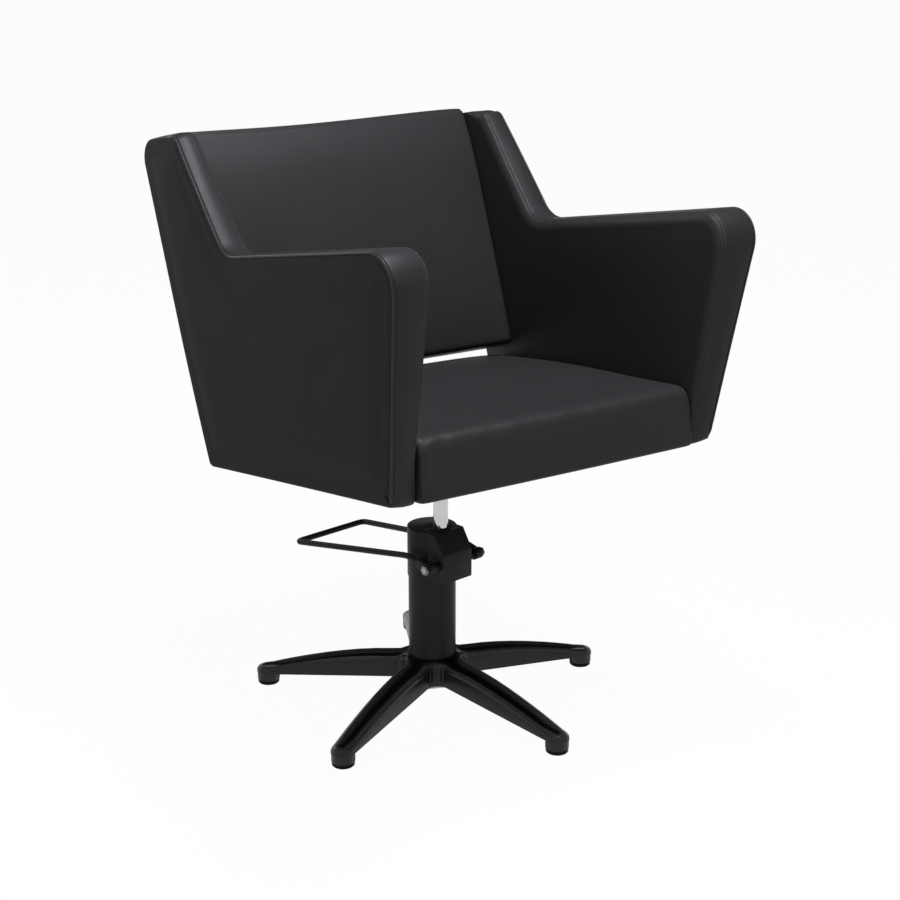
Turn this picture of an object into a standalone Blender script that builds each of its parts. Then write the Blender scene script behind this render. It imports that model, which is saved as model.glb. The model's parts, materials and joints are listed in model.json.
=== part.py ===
"""Styling chair: an upholstered tub seat on a hydraulic pump and a five-leg base.

Metres, +Z up. The origin is on the floor under the pump column, the sitter faces -Y.
The base and pump are turned by BASE_YAW, the seat swivels about the piston rod.
"""
import math

import bmesh
import bpy
from mathutils import Matrix, Vector

# Clearances
GAP = 0.0003                  # between pieces that rest on each other
CUSHION_GAP = 0.0012          # between an upholstered piece and its neighbour
CUT_REACH = 0.010             # of a cutter past the face that it opens

# Base casting
LEG_COUNT = 5
BASE_YAW = math.radians(9.5)
FOOT_CIRCLE_RADIUS = 0.285
LEG_HALF_WIDTH_HUB = 0.024
LEG_HALF_WIDTH_TIP = 0.0195
CROTCH_FILLET = 0.018
HUB_RIM_Z = 0.0850            # top of the hub beside the column
LEG_CREST_Z = 0.0710          # top of the ridges where a leg leaves the hub
LEG_CREST_START = 0.070       # radius where the hub's flare ends
LEG_FALL = 0.0405             # drop of the ridges from there to the foot
LEG_ARCH = 1.6                # exponent of that drop
LEG_UNDERSIDE_HUB_Z = 0.0385
LEG_UNDERSIDE_TIP_Z = 0.0215
LEG_WALL = 0.0045
GROOVE_DEPTH = 0.0045
RIDGE_INSET = 0.0065          # from the leg's edge to the top of its ridge
GROOVE_INSET = 0.0155         # from the leg's edge to the floor of its groove
EDGE_DROP = 0.006
HUB_SEAT_DEPTH = 0.006        # recess that the column stands in

# Foot glides
GLIDE_RADIUS = 0.018
GLIDE_HEIGHT = 0.007
GLIDE_CHAMFER = 0.0015
STEM_RADIUS = 0.0045
STEM_LENGTH = 0.010

# Pump
COLUMN_RADIUS = 0.039
COLUMN_WALL = 0.0025
COLUMN_TOP_Z = 0.2182
ROD_OFFSET = 0.0205           # piston axis in front of the column axis
ROD_RADIUS = 0.01225
RUNNING_GAP = 0.0003
CYLINDER_BORE = 0.01335
CYLINDER_WALL = 0.0016
HEAD_RADIUS = 0.0405
HEAD_TOP_Z = 0.3020
BLOCK_HALF_WIDTH = 0.032
BLOCK_REACH = 0.060           # front face of the pump block from the column axis
BLOCK_BOTTOM_Z = 0.2225
CHAMFER_RUN = 0.020
CHAMFER_FALL = 0.032
SOCKET_ROOF = 0.014           # metal over the end of the cylinder tube
WIPER_RADIUS = 0.0172
WIPER_DEPTH = 0.004
WIPER_PROUD = 0.0018
HUB_BORE = 0.024
FOOT_FLANGE = 0.016           # thickness of the pump foot inside the column
WASHER_THICKNESS = 0.003
NUT_HEIGHT = 0.011
NUT_RADIUS = 0.034
PISTON_HEIGHT = 0.014
PISTON_FLOOR_GAP = 0.003
SEAL_HEIGHT = 0.0035
SEAL_DEPTH = 0.0015

# Pedal
SHAFT_REACH = 0.050           # pedal shaft in front of the column axis
SHAFT_Z = 0.2530
SHAFT_RADIUS = 0.0045
SHAFT_HALF_LENGTH = 0.0645
PEDAL_ROD_RADIUS = 0.005
PEDAL_LENGTH = 0.310          # shaft to end bar
PEDAL_DROP = 0.030
PEDAL_HALF_WIDTH_END = 0.075
PEDAL_CORNER = 0.012
PEDAL_KNEE = (0.0545, 0.048, 0.0105)  # bend of the loop's arm: across, behind and above the shaft
CRANK_INNER = 0.0445
CRANK_WIDTH = 0.0145
CRANK_RADIUS = 0.0095
CRANK_LUG_LENGTH = 0.024
CRANK_LUG_HALF_HEIGHT = 0.0075
SOCKET_START = 0.0105         # rod socket in the crank, from the shaft's axis
SHAFT_NUT_RADIUS = 0.0085
SHAFT_NUT_HEIGHT = 0.005
ROCKER_WIDTH = 0.012
ROCKER_RADIUS = 0.0066
ROCKER_ARM = 0.0088           # shaft to the plunger's axis
ROCKER_ARM_THICKNESS = 0.009
PLUNGER_RADIUS = 0.0025
PLUNGER_LENGTH = 0.019
PLUNGER_COLLAR = 0.0036
COLLAR_HEIGHT = 0.0025
CHAMBER_HALF_WIDTH = 0.0085
CHAMBER_FLOOR_Z = 0.2360
CHAMBER_ROOF_Z = 0.2625
CHAMBER_WALL = 0.0018         # metal left in front of the chamber
PLUNGER_BORE_DEPTH = 0.012
SPRING_WIRE = 0.0004
SPRING_TURNS = 4

# Side panels, as seen from the side: distance behind the swivel axis, and height
PANEL_FRONT_LOW = (-0.311, 0.481)
PANEL_FRONT_TOP = (-0.373, 0.847)
PANEL_DIP = (0.119, 0.762)
PANEL_WING_TOP = (0.274, 0.928)
PANEL_REAR_TOP = (0.402, 0.905)
PANEL_REAR_LOW = (0.202, 0.408)
ARM_CORNER = 0.052
DIP_FILLET = 0.055
WING_CORNER = 0.016
REAR_CORNER = 0.034
INNER_HALF_WIDTH = 0.2504     # between the panels, at the swivel axis and on the floor
INNER_LEAN = 0.011
INNER_TOE = 0.028
OUTER_HALF_WIDTH_FRONT = 0.2897
OUTER_FLARE = 0.0742
OUTER_HALF_WIDTH_REAR = 0.311
PANEL_EDGE_ROUND = 0.006
PANEL_BAND_CROWN = 0.0015     # bulge of the padded edge between its two seams
PANEL_FRONT_SLANT = 0.008     # the arm's front: its inner edge behind its outer edge
PANEL_SLANT_REACH = 0.100     # over which that slant fades out
CORE_THICKNESS = 0.018
CORE_INSET = 0.022            # padding round the core's edge
CORE_FRONT_DEPTH = 0.0125     # padding inside the core at the front
CORE_TOE = 0.030
CORE_SLOT_DROP = 0.030        # the core's slot runs out of the panel's open bottom

# Seat, in its own tilted frame: origin on the swivel axis, at the seat's underside
SEAT_UNDERSIDE_Z = 0.4373
SEAT_TILT = math.radians(8.17)
SEAT_FRONT = 0.327
SEAT_REAR = 0.188
SEAT_EDGE_HEIGHT = 0.083      # top of the cushion's front edge
SEAT_SIDE_HEIGHT = 0.104      # top of the cushion along its sides, at the rear
SEAT_CROWN = 0.013
SEAT_DRAW_IN = 0.003          # waist of the cushion's sides
SEAT_FRONT_BOW = 0.004
SEAT_SKIRT = 0.024            # cushion in front of and behind the frame
SEAT_HOLLOW_HALF_WIDTH = 0.400
SEAT_HOLLOW_DROP = 0.050
FRAME_HEIGHT = 0.042
FRAME_DECK = 0.012
FRAME_RAIL = 0.022
PLATE_SIZE = 0.150
PLATE_THICKNESS = 0.005
PLATE_HUB_RADIUS = 0.023
PLATE_HUB_BOTTOM_Z = 0.3740
PLATE_BOLT_SPACING = 0.110
ROD_SOCKET_ROOF = 0.006

# Back, in its own reclined frame: origin at the lower front edge of the cushion
BACK_ORIGIN = (0.157, 0.546)
BACK_RECLINE = math.radians(22.4)
BACK_HEIGHT = 0.418
BACK_CUSHION_DEPTH = 0.046
BACK_CROWN = 0.009
BACK_FULLNESS = 0.003
BACK_DRAW_IN = 0.003
BACK_TOP_ROLL = 0.010
BACK_LOW_ROLL = 0.004
BOARD_THICKNESS = 0.015
BOARD_INSET = 0.012
POCKET_DEPTH = 0.100          # the board's pocket is open to the rear
REAR_PANEL_DEPTH = 0.014
REAR_PANEL_INSET = 0.005
REAR_PANEL_SIDE = 0.001       # from the rear panel's side to the cushion's

# Fasteners
BOLT_RADIUS = 0.004
BOLT_HEAD_RADIUS = 0.0075
BOLT_HEAD_HEIGHT = 0.005
RAIL_BOLT_SPAN = (-0.210, 0.090)
RAIL_BOLT_HEIGHT = 0.019
STUD_HEIGHTS = (0.075, 0.335)
STUD_GRIP = 0.022             # thread in the back board
CORE_GRIP = 0.013             # thread in a panel's core

ROUND_SIDES = 40
SMALL_SIDES = 20
BOLT_SIDES = 12

PART_NAME = "styling_chair"


def clear_scene():
    for old in list(bpy.data.objects):
        bpy.data.objects.remove(old, do_unlink=True)


def new_collection(name):
    group = bpy.data.collections.new(name)
    bpy.context.scene.collection.children.link(group)
    return group


def new_material(name, colour, roughness, metallic=0.0):
    mat = bpy.data.materials.new(name)
    mat.use_nodes = True
    shader = mat.node_tree.nodes["Principled BSDF"]
    shader.inputs["Base Color"].default_value = (*colour, 1.0)
    shader.inputs["Roughness"].default_value = roughness
    shader.inputs["Metallic"].default_value = metallic
    return mat


clear_scene()
PARTS = new_collection(PART_NAME)
CUTTERS = new_collection(PART_NAME + "_cutters")

LEATHER = new_material("black_upholstery", (0.032, 0.033, 0.036), 0.5)
PAINT = new_material("black_enamel", (0.015, 0.015, 0.016), 0.3)
PLASTIC = new_material("black_plastic", (0.02, 0.02, 0.02), 0.55)
CHROME = new_material("chrome", (0.85, 0.85, 0.86), 0.08, 1.0)
STEEL = new_material("zinc_steel", (0.6, 0.6, 0.62), 0.35, 1.0)
RUBBER = new_material("seal_rubber", (0.02, 0.02, 0.02), 0.7)
PLYWOOD = new_material("plywood", (0.52, 0.38, 0.22), 0.6)


def place(obj, parent, material, location=(0, 0, 0), rotation=(0, 0, 0)):
    """Put a finished object in the part, on its parent and with its material."""
    PARTS.objects.link(obj)
    obj.parent = parent
    obj.location = location
    obj.rotation_euler = rotation
    if material is not None:
        obj.data.materials.append(material)
        obj.data.shade_smooth()
        obj.data.set_sharp_from_angle(angle=math.radians(35))
    return obj


def empty(name, parent=None, location=(0, 0, 0), rotation=(0, 0, 0)):
    return place(bpy.data.objects.new(name, None), parent, None, location, rotation)


def mesh_object(name, bm):
    """A new object from a bmesh, with its faces pointing out."""
    bmesh.ops.recalc_face_normals(bm, faces=bm.faces)
    mesh = bpy.data.meshes.new(name)
    bm.to_mesh(mesh)
    bm.free()
    return bpy.data.objects.new(name, mesh)


def cylinder(name, radius, low, high, sides=SMALL_SIDES):
    """A cylinder along its own Z, from low to high."""
    bm = bmesh.new()
    middle = Matrix.Translation((0, 0, (low + high) / 2))
    bmesh.ops.create_cone(bm, cap_ends=True, segments=sides, radius1=radius, radius2=radius,
                          depth=high - low, matrix=middle)
    return mesh_object(name, bm)


def box(name, low, high):
    """A box between two corners."""
    bm = bmesh.new()
    size = Vector(high) - Vector(low)
    middle = (Vector(high) + Vector(low)) / 2
    matrix = Matrix.Translation(middle) @ Matrix.Diagonal((*size, 1.0))
    bmesh.ops.create_cube(bm, size=1.0, matrix=matrix)
    return mesh_object(name, bm)


def turned(name, profile, sides=ROUND_SIDES, ring=False):
    """A turned piece about its own Z. The profile of (radius, height) runs down the outside."""
    mesh = bpy.data.meshes.new(name)
    count = len(profile)
    edges = [(i, i + 1) for i in range(count - 1)]
    if ring:
        edges.append((count - 1, 0))
    mesh.from_pydata([(r, 0, z) for r, z in profile], edges, [])
    obj = bpy.data.objects.new(name, mesh)
    screw = obj.modifiers.new("turn", "SCREW")
    screw.steps = sides
    screw.render_steps = sides
    screw.use_merge_vertices = True
    screw.merge_threshold = 0.00001
    screw.use_normal_calculate = False
    return obj


def board(name, outline, thickness):
    """A flat board in its own XY plane from an outline, thickness about that plane."""
    curve = bpy.data.curves.new(name, "CURVE")
    curve.dimensions = "2D"
    curve.fill_mode = "BOTH"
    curve.extrude = thickness / 2
    spline = curve.splines.new("POLY")
    spline.points.add(len(outline) - 1)
    for point, (x, y) in zip(spline.points, outline):
        point.co = (x, y, 0, 1)
    spline.use_cyclic_u = True
    flat = bpy.data.objects.new(name + "_outline", curve)
    bpy.context.scene.collection.objects.link(flat)
    graph = bpy.context.evaluated_depsgraph_get()
    mesh = bpy.data.meshes.new_from_object(flat.evaluated_get(graph))
    bpy.data.objects.remove(flat, do_unlink=True)
    bm = bmesh.new()
    bm.from_mesh(mesh)
    bpy.data.meshes.remove(mesh)
    bmesh.ops.remove_doubles(bm, verts=bm.verts, dist=0.00001)
    return mesh_object(name, bm)


def combine(target, tool, operation, parent=None, location=(0, 0, 0), rotation=(0, 0, 0)):
    """Join or cut a piece with a tool object, which is kept out of the part."""
    tool.name = target.name + "_" + tool.name
    CUTTERS.objects.link(tool)
    tool.parent = parent if parent is not None else target.parent
    tool.location = location
    tool.rotation_euler = rotation
    tool.hide_render = True
    tool.display_type = "WIRE"
    step = target.modifiers.new(tool.name, "BOOLEAN")
    step.operation = operation
    step.solver = "EXACT"
    step.object = tool
    return target


def cut(target, tool, parent=None, location=(0, 0, 0), rotation=(0, 0, 0)):
    return combine(target, tool, "DIFFERENCE", parent, location, rotation)


def join(target, tool, parent=None, location=(0, 0, 0), rotation=(0, 0, 0)):
    return combine(target, tool, "UNION", parent, location, rotation)


def interpolate(x, knots):
    """Straight-line interpolation in a list of (x, y) knots."""
    if x <= knots[0][0]:
        return knots[0][1]
    for (x0, y0), (x1, y1) in zip(knots, knots[1:]):
        if x <= x1:
            return y0 + (y1 - y0) * (x - x0) / (x1 - x0)
    return knots[-1][1]


def ramp(x, start, end):
    """A smooth step from 0 at start to 1 at end."""
    f = min(max((x - start) / (end - start), 0.0), 1.0)
    return f * f * (3 - 2 * f)


def fillet(before, corner, after, radius, steps):
    """Points along the arc that rounds a corner of an outline."""
    corner = Vector(corner)
    to_before = (Vector(before) - corner).normalized()
    to_after = (Vector(after) - corner).normalized()
    half = to_before.angle(to_after) / 2
    centre = corner + (to_before + to_after).normalized() * radius / math.sin(half)
    start = corner + to_before * radius / math.tan(half) - centre
    end = corner + to_after * radius / math.tan(half) - centre
    turn = start.angle_signed(end)
    points = []
    for i in range(steps + 1):
        points.append(tuple(centre + Matrix.Rotation(-turn * i / steps, 2) @ start))
    return points


def inset_outline(points, insets):
    """Move each edge of a closed outline inwards (points counter-clockwise) by its own inset."""
    lines = []
    count = len(points)
    for i in range(count):
        a = Vector(points[i])
        b = Vector(points[(i + 1) % count])
        along = (b - a).normalized()
        inward = Vector((-along.y, along.x))
        lines.append((a + inward * insets[i], along))
    result = []
    for i in range(count):
        p, d = lines[i - 1]
        q, e = lines[i]
        cross = d.x * e.y - d.y * e.x
        reach = ((q - p).x * e.y - (q - p).y * e.x) / cross
        result.append(tuple(p + d * reach))
    return result


def rounded_outline(points, radii):
    """An outline with an arc at each corner that has a radius."""
    result = []
    count = len(points)
    for i in range(count):
        if radii[i] > 0:
            result += fillet(points[i - 1], points[i], points[(i + 1) % count], radii[i], 4)
        else:
            result.append(points[i])
    return result


# Base casting

SECTOR = math.pi / LEG_COUNT
FILLET_RHO = (LEG_HALF_WIDTH_HUB + CROTCH_FILLET) / math.sin(SECTOR)
FILLET_S = FILLET_RHO * math.cos(SECTOR)
FILLET_T = FILLET_RHO * math.sin(SECTOR)
CROTCH_S = (FILLET_RHO - CROTCH_FILLET) * math.cos(SECTOR)
LEG_BOSS_Z = GLIDE_HEIGHT + GAP
BOSS_START = FOOT_CIRCLE_RADIUS - GLIDE_RADIUS
BOSS_RADIUS = LEG_HALF_WIDTH_TIP - 0.0007


def leg_half_width(s):
    """Half-width of a leg in plan: a fillet at the hub, a taper and a round tip."""
    if s < FILLET_S:
        return FILLET_T - math.sqrt(CROTCH_FILLET ** 2 - (s - FILLET_S) ** 2)
    if s > FOOT_CIRCLE_RADIUS:
        return math.sqrt(LEG_HALF_WIDTH_TIP ** 2 - (s - FOOT_CIRCLE_RADIUS) ** 2)
    taper = (s - FILLET_S) / (FOOT_CIRCLE_RADIUS - FILLET_S)
    return LEG_HALF_WIDTH_HUB + (LEG_HALF_WIDTH_TIP - LEG_HALF_WIDTH_HUB) * taper


def edge_distance(s, t):
    """Distance in plan from a point on the casting to its outer edge."""
    if s < FILLET_S:
        return math.hypot(s - FILLET_S, abs(t) - FILLET_T) - CROTCH_FILLET
    if s > FOOT_CIRCLE_RADIUS:
        return LEG_HALF_WIDTH_TIP - math.hypot(s - FOOT_CIRCLE_RADIUS, t)
    return leg_half_width(s) - abs(t)


def crest_height(s):
    """Height of a leg's ridges at a distance from the column axis."""
    flare = max(0.0, 1 - (s - COLUMN_RADIUS) / (LEG_CREST_START - COLUMN_RADIUS))
    fall = min(max(0.0, (s - LEG_CREST_START) / (FOOT_CIRCLE_RADIUS - LEG_CREST_START)), 1.0)
    return LEG_CREST_Z + (HUB_RIM_Z - LEG_CREST_Z) * flare ** 2 - LEG_FALL * fall ** LEG_ARCH


def casting_top(s, t):
    """Height of the casting's upper side: ridges along the edges, a groove between them."""
    groove = GROOVE_DEPTH * (1 - ramp(s, BOSS_START - 0.010, FOOT_CIRCLE_RADIUS - 0.006))
    section = [(0.0, -EDGE_DROP), (0.0018, -0.38 * EDGE_DROP), (RIDGE_INSET, 0.0),
               ((RIDGE_INSET + GROOVE_INSET) / 2, -0.45 * groove), (GROOVE_INSET, -groove)]
    distance = math.hypot(s, t) if s < LEG_CREST_START else s
    return crest_height(distance) + interpolate(edge_distance(s, t), section)


def underside(s):
    span = FOOT_CIRCLE_RADIUS - FILLET_S
    slope = (LEG_UNDERSIDE_TIP_Z - LEG_UNDERSIDE_HUB_Z) / span
    return LEG_UNDERSIDE_HUB_Z + slope * max(0.0, s - FILLET_S)


def channel_roof(s):
    """Height of the hollow underside of a leg, open downwards."""
    depth = crest_height(s) - GROOVE_DEPTH - LEG_WALL - underside(s)
    fade = ramp(s, FILLET_S, FILLET_S + 0.022) * (1 - ramp(s, BOSS_START - 0.030, BOSS_START - 0.008))
    return underside(s) + max(0.0, depth) * fade


def mirrored(half):
    """Values from the edge to the centre line, repeated on the other side."""
    return [-v for v in half] + half[-2::-1]


def leg_rows(s):
    """Cross-section of a leg: the upper row and the lower row of points, side to side."""
    width = leg_half_width(s)
    upper_half = [(0.0, 1.0), (0.0018, 0.9), (RIDGE_INSET, 0.66),
                  ((RIDGE_INSET + GROOVE_INSET) / 2, 0.45), (GROOVE_INSET, 0.22), (width, 0.0)]
    upper = mirrored([max(width - inset, share * width) for inset, share in upper_half])
    lower_half = [(0.0, 1.0), (LEG_WALL, 0.8), (LEG_WALL + 0.002, 0.7), (width / 2, 0.5),
                  (width * 0.75, 0.25), (width, 0.0)]
    lower = mirrored([max(width - inset, share * width) for inset, share in lower_half])
    roof = channel_roof(s)
    top = [(s, t, casting_top(s, t)) for t in upper]
    bottom = []
    for i, t in enumerate(lower):
        inside = 1 < i < len(lower) - 2
        bottom.append((s, t, roof if inside else underside(s)))
    return top, bottom


def hub_rows():
    """Rings of the hub in one sector, from the bore's lower edge up and out to the crotch."""
    crotch_top, crotch_bottom = leg_rows(CROTCH_S)
    count = len(crotch_top) - 1
    angles = [SECTOR * (2 * i / count - 1) for i in range(count + 1)]
    seat_radius = COLUMN_RADIUS + GAP

    def arc(radius, height):
        return [(radius * math.cos(a), radius * math.sin(a), height) for a in angles]

    rim = [(s, t, casting_top(s, t)) for s, t, z in arc(seat_radius, 0.0)]
    blend = []
    for inner, outer in zip(rim, crotch_top):
        s, t, z = Vector(inner).lerp(Vector(outer), 0.55)
        blend.append((s, t, casting_top(s, t)))
    seat_z = HUB_RIM_Z - HUB_SEAT_DEPTH
    top = [arc(HUB_BORE, LEG_UNDERSIDE_HUB_Z), arc(HUB_BORE, seat_z), arc(seat_radius, seat_z), rim, blend]
    bottom = [arc(HUB_BORE, LEG_UNDERSIDE_HUB_Z), arc(seat_radius, LEG_UNDERSIDE_HUB_Z)]
    return top, bottom


def star_base(parent):
    """Five-leg casting: one lofted sector for each leg, welded at the sectors' planes."""
    tip = FOOT_CIRCLE_RADIUS + LEG_HALF_WIDTH_TIP * math.cos(math.radians(12))
    leg_length = BOSS_START - FILLET_S
    stations = [CROTCH_S, (CROTCH_S + FILLET_S) / 2, FILLET_S]
    stations += [FILLET_S + leg_length * f for f in (0.08, 0.2, 0.34, 0.48, 0.62, 0.76, 0.88, 0.95)]
    stations += [BOSS_START, FOOT_CIRCLE_RADIUS - 0.006, FOOT_CIRCLE_RADIUS + 0.004]
    stations += [FOOT_CIRCLE_RADIUS + LEG_HALF_WIDTH_TIP * f for f in (0.55, 0.85)] + [tip]
    bm = bmesh.new()

    def strip(row_a, row_b):
        for i in range(len(row_a) - 1):
            bm.faces.new((row_a[i], row_a[i + 1], row_b[i + 1], row_b[i]))

    for k in range(LEG_COUNT):
        turn = Matrix.Rotation(2 * SECTOR * k - math.pi / 2, 4, "Z")

        def add(points):
            return [bm.verts.new(turn @ Vector(p)) for p in points]

        hub_top, hub_bottom = hub_rows()
        tops = [add(row) for row in hub_top]
        bottoms = [add(row) for row in hub_bottom]
        for s in stations:
            top, bottom = leg_rows(s)
            tops.append(add(top))
            bottoms.append(add(bottom))
        for rows in (tops, bottoms):
            for row_a, row_b in zip(rows, rows[1:]):
                strip(row_a, row_b)
        leg_tops = tops[len(hub_top):]
        leg_bottoms = bottoms[len(hub_bottom):]
        for side in (0, -1):
            strip([row[side] for row in leg_tops], [row[side] for row in leg_bottoms])
        bm.faces.new(leg_tops[-1] + leg_bottoms[-1][::-1])
    bmesh.ops.remove_doubles(bm, verts=bm.verts, dist=0.00001)
    base = place(mesh_object("star_base", bm), parent, PAINT)
    for k in range(LEG_COUNT):
        boss_top = LEG_UNDERSIDE_TIP_Z + 0.003
        join(base, cylinder("boss_%d" % (k + 1), BOSS_RADIUS, LEG_BOSS_Z, boss_top), location=foot_place(k))
        hole = cylinder("stem_hole_%d" % (k + 1), STEM_RADIUS + GAP, 0, GLIDE_HEIGHT + STEM_LENGTH + GAP)
        cut(base, hole, location=foot_place(k))
    return base


def foot_place(k):
    angle = 2 * SECTOR * k - math.pi / 2
    return (FOOT_CIRCLE_RADIUS * math.cos(angle), FOOT_CIRCLE_RADIUS * math.sin(angle), 0)


def foot_glides(parent):
    """Levelling glides: a chamfered disc with a stem pressed into the leg."""
    profile = [(0, GLIDE_HEIGHT + STEM_LENGTH), (STEM_RADIUS, GLIDE_HEIGHT + STEM_LENGTH),
               (STEM_RADIUS, GLIDE_HEIGHT), (GLIDE_RADIUS, GLIDE_HEIGHT),
               (GLIDE_RADIUS, GLIDE_CHAMFER), (GLIDE_RADIUS - GLIDE_CHAMFER, 0), (0, 0)]
    for k in range(LEG_COUNT):
        glide = turned("foot_glide_%d" % (k + 1), profile, SMALL_SIDES)
        place(glide, parent, PLASTIC, foot_place(k))


# Pump

SEAT_RECESS_Z = HUB_RIM_Z - HUB_SEAT_DEPTH
COLUMN_BOTTOM_Z = SEAT_RECESS_Z + GAP
COLUMN_BORE = COLUMN_RADIUS - COLUMN_WALL
HEAD_BOTTOM_Z = COLUMN_TOP_Z + GAP
FOOT_TOP_Z = COLUMN_BOTTOM_Z + FOOT_FLANGE
CYLINDER_TOP_Z = HEAD_TOP_Z - SOCKET_ROOF
CYLINDER_RADIUS = CYLINDER_BORE + CYLINDER_WALL
NUT_TOP_Z = LEG_UNDERSIDE_HUB_Z - WASHER_THICKNESS - 2 * GAP
ROD_PLACE = (0, -ROD_OFFSET, 0)
SHAFT_PLACE = (0, -SHAFT_REACH, SHAFT_Z)
PISTON_BOTTOM_Z = FOOT_TOP_Z + PISTON_FLOOR_GAP
ROD_BOTTOM_Z = PISTON_BOTTOM_Z + PISTON_HEIGHT + GAP


def ring_profile(outer, inner, low, high):
    return [(outer, high), (outer, low), (inner, low), (inner, high)]


def pump_column(parent):
    """Outer tube, the foot that clamps it to the casting, and the inner cylinder."""
    tube = ring_profile(COLUMN_RADIUS, COLUMN_BORE, COLUMN_BOTTOM_Z, COLUMN_TOP_Z)
    place(turned("column_tube", tube, ring=True), parent, PAINT)
    flange = COLUMN_BORE - GAP
    stub = HUB_BORE - GAP
    stub_end = NUT_TOP_Z - NUT_HEIGHT - 0.002
    foot = [(0, FOOT_TOP_Z), (flange, FOOT_TOP_Z), (flange, COLUMN_BOTTOM_Z), (stub, COLUMN_BOTTOM_Z),
            (stub, stub_end + 0.002), (stub - 0.002, stub_end), (0, stub_end)]
    place(turned("pump_foot", foot), parent, STEEL)
    barrel = ring_profile(CYLINDER_RADIUS, CYLINDER_BORE, FOOT_TOP_Z + GAP, CYLINDER_TOP_Z - GAP)
    place(turned("cylinder_tube", barrel, ring=True), parent, STEEL, ROD_PLACE)
    washer = ring_profile(NUT_RADIUS, HUB_BORE, NUT_TOP_Z + GAP, LEG_UNDERSIDE_HUB_Z - GAP)
    place(turned("hub_washer", washer, ring=True), parent, STEEL)
    nut = cylinder("hub_nut", NUT_RADIUS, NUT_TOP_Z - NUT_HEIGHT, NUT_TOP_Z, 6)
    place(nut, parent, STEEL)
    cut(nut, cylinder("thread", HUB_BORE, 0, HUB_RIM_Z, ROUND_SIDES))


def pump_head(parent):
    """Cast head: a round collar and a chamfered block with the pedal shaft and plunger bores."""
    head = cylinder("pump_head", HEAD_RADIUS, HEAD_BOTTOM_Z, HEAD_TOP_Z, ROUND_SIDES)
    place(head, parent, PAINT)
    chamfer_z = HEAD_TOP_Z - CHAMFER_FALL
    chamfer_y = BLOCK_REACH - CHAMFER_RUN
    side = [(0, BLOCK_BOTTOM_Z), (BLOCK_REACH, BLOCK_BOTTOM_Z), (BLOCK_REACH, chamfer_z),
            (chamfer_y, HEAD_TOP_Z), (0, HEAD_TOP_Z)]
    block = board("block", side, 2 * BLOCK_HALF_WIDTH)
    join(head, block, rotation=(math.pi / 2, 0, -math.pi / 2))
    rod_bore = ROD_RADIUS + RUNNING_GAP
    over = HEAD_TOP_Z + CUT_REACH
    under = HEAD_BOTTOM_Z - CUT_REACH
    cut(head, cylinder("rod_bore", rod_bore, HEAD_BOTTOM_Z, over, ROUND_SIDES), location=ROD_PLACE)
    socket = cylinder("cylinder_socket", CYLINDER_RADIUS + GAP, under, CYLINDER_TOP_Z, ROUND_SIDES)
    cut(head, socket, location=ROD_PLACE)
    recess = cylinder("wiper_recess", WIPER_RADIUS + GAP, HEAD_TOP_Z - WIPER_DEPTH, over, ROUND_SIDES)
    cut(head, recess, location=ROD_PLACE)
    shaft_bore = cylinder("shaft_bore", SHAFT_RADIUS + RUNNING_GAP, -BLOCK_REACH, BLOCK_REACH)
    cut(head, shaft_bore, location=SHAFT_PLACE, rotation=(0, math.pi / 2, 0))
    chamber_front = -(BLOCK_REACH - CHAMBER_WALL)
    chamber_rear = -(SHAFT_REACH - ROCKER_ARM - PLUNGER_COLLAR - 0.0005)
    chamber = box("rocker_chamber", (-CHAMBER_HALF_WIDTH, chamber_front, CHAMBER_FLOOR_Z),
                  (CHAMBER_HALF_WIDTH, chamber_rear, CHAMBER_ROOF_Z))
    cut(head, chamber)
    bore_low = CHAMBER_FLOOR_Z - PLUNGER_BORE_DEPTH
    bore_high = CHAMBER_FLOOR_Z + 0.001
    plunger_bore = cylinder("plunger_bore", PLUNGER_RADIUS + RUNNING_GAP, bore_low, bore_high)
    cut(head, plunger_bore, location=PLUNGER_PLACE)
    wiper = ring_profile(WIPER_RADIUS, rod_bore, HEAD_TOP_Z - WIPER_DEPTH + GAP, HEAD_TOP_Z + WIPER_PROUD)
    place(turned("rod_wiper", wiper, ring=True), parent, RUBBER, ROD_PLACE)


def piston(parent):
    """Piston head and its seal at the foot of the rod."""
    radius = CYLINDER_BORE - RUNNING_GAP
    top = PISTON_BOTTOM_Z + PISTON_HEIGHT
    seal_low = PISTON_BOTTOM_Z + (PISTON_HEIGHT - SEAL_HEIGHT) / 2
    seal_high = seal_low + SEAL_HEIGHT
    groove = radius - SEAL_DEPTH
    body = [(0, top), (radius, top), (radius, seal_high), (groove, seal_high), (groove, seal_low),
            (radius, seal_low), (radius, PISTON_BOTTOM_Z), (0, PISTON_BOTTOM_Z)]
    place(turned("piston_head", body), parent, STEEL)
    seal = ring_profile(radius + 0.0001, groove + 0.0002, seal_low + 0.0002, seal_high - 0.0002)
    place(turned("piston_seal", seal, ring=True), parent, RUBBER)


# Pedal

PLUNGER_PLACE = (0, -(SHAFT_REACH - ROCKER_ARM), 0)
NOSE_UNDERSIDE = ROCKER_ARM_THICKNESS / 2
PLUNGER_TOP_Z = SHAFT_Z - NOSE_UNDERSIDE - GAP
CRANK_MIDDLE = CRANK_INNER + CRANK_WIDTH / 2


def crank_axis(side):
    """Direction of the rod socket in a crank, from the shaft towards the loop's knee."""
    knee = Vector((side * PEDAL_KNEE[0], PEDAL_KNEE[1], PEDAL_KNEE[2]))
    centre = Vector((side * CRANK_MIDDLE, 0, 0))
    return centre, (knee - centre).normalized(), knee


def rounded_corner(before, corner, after, radius, steps):
    """Points round a corner of a bent rod, starting and ending a radius away from it."""
    a = corner + (before - corner).normalized() * radius
    b = corner + (after - corner).normalized() * radius
    points = []
    for i in range(steps + 1):
        f = i / steps
        points.append(a.lerp(corner, f).lerp(corner.lerp(b, f), f))
    return points


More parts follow.
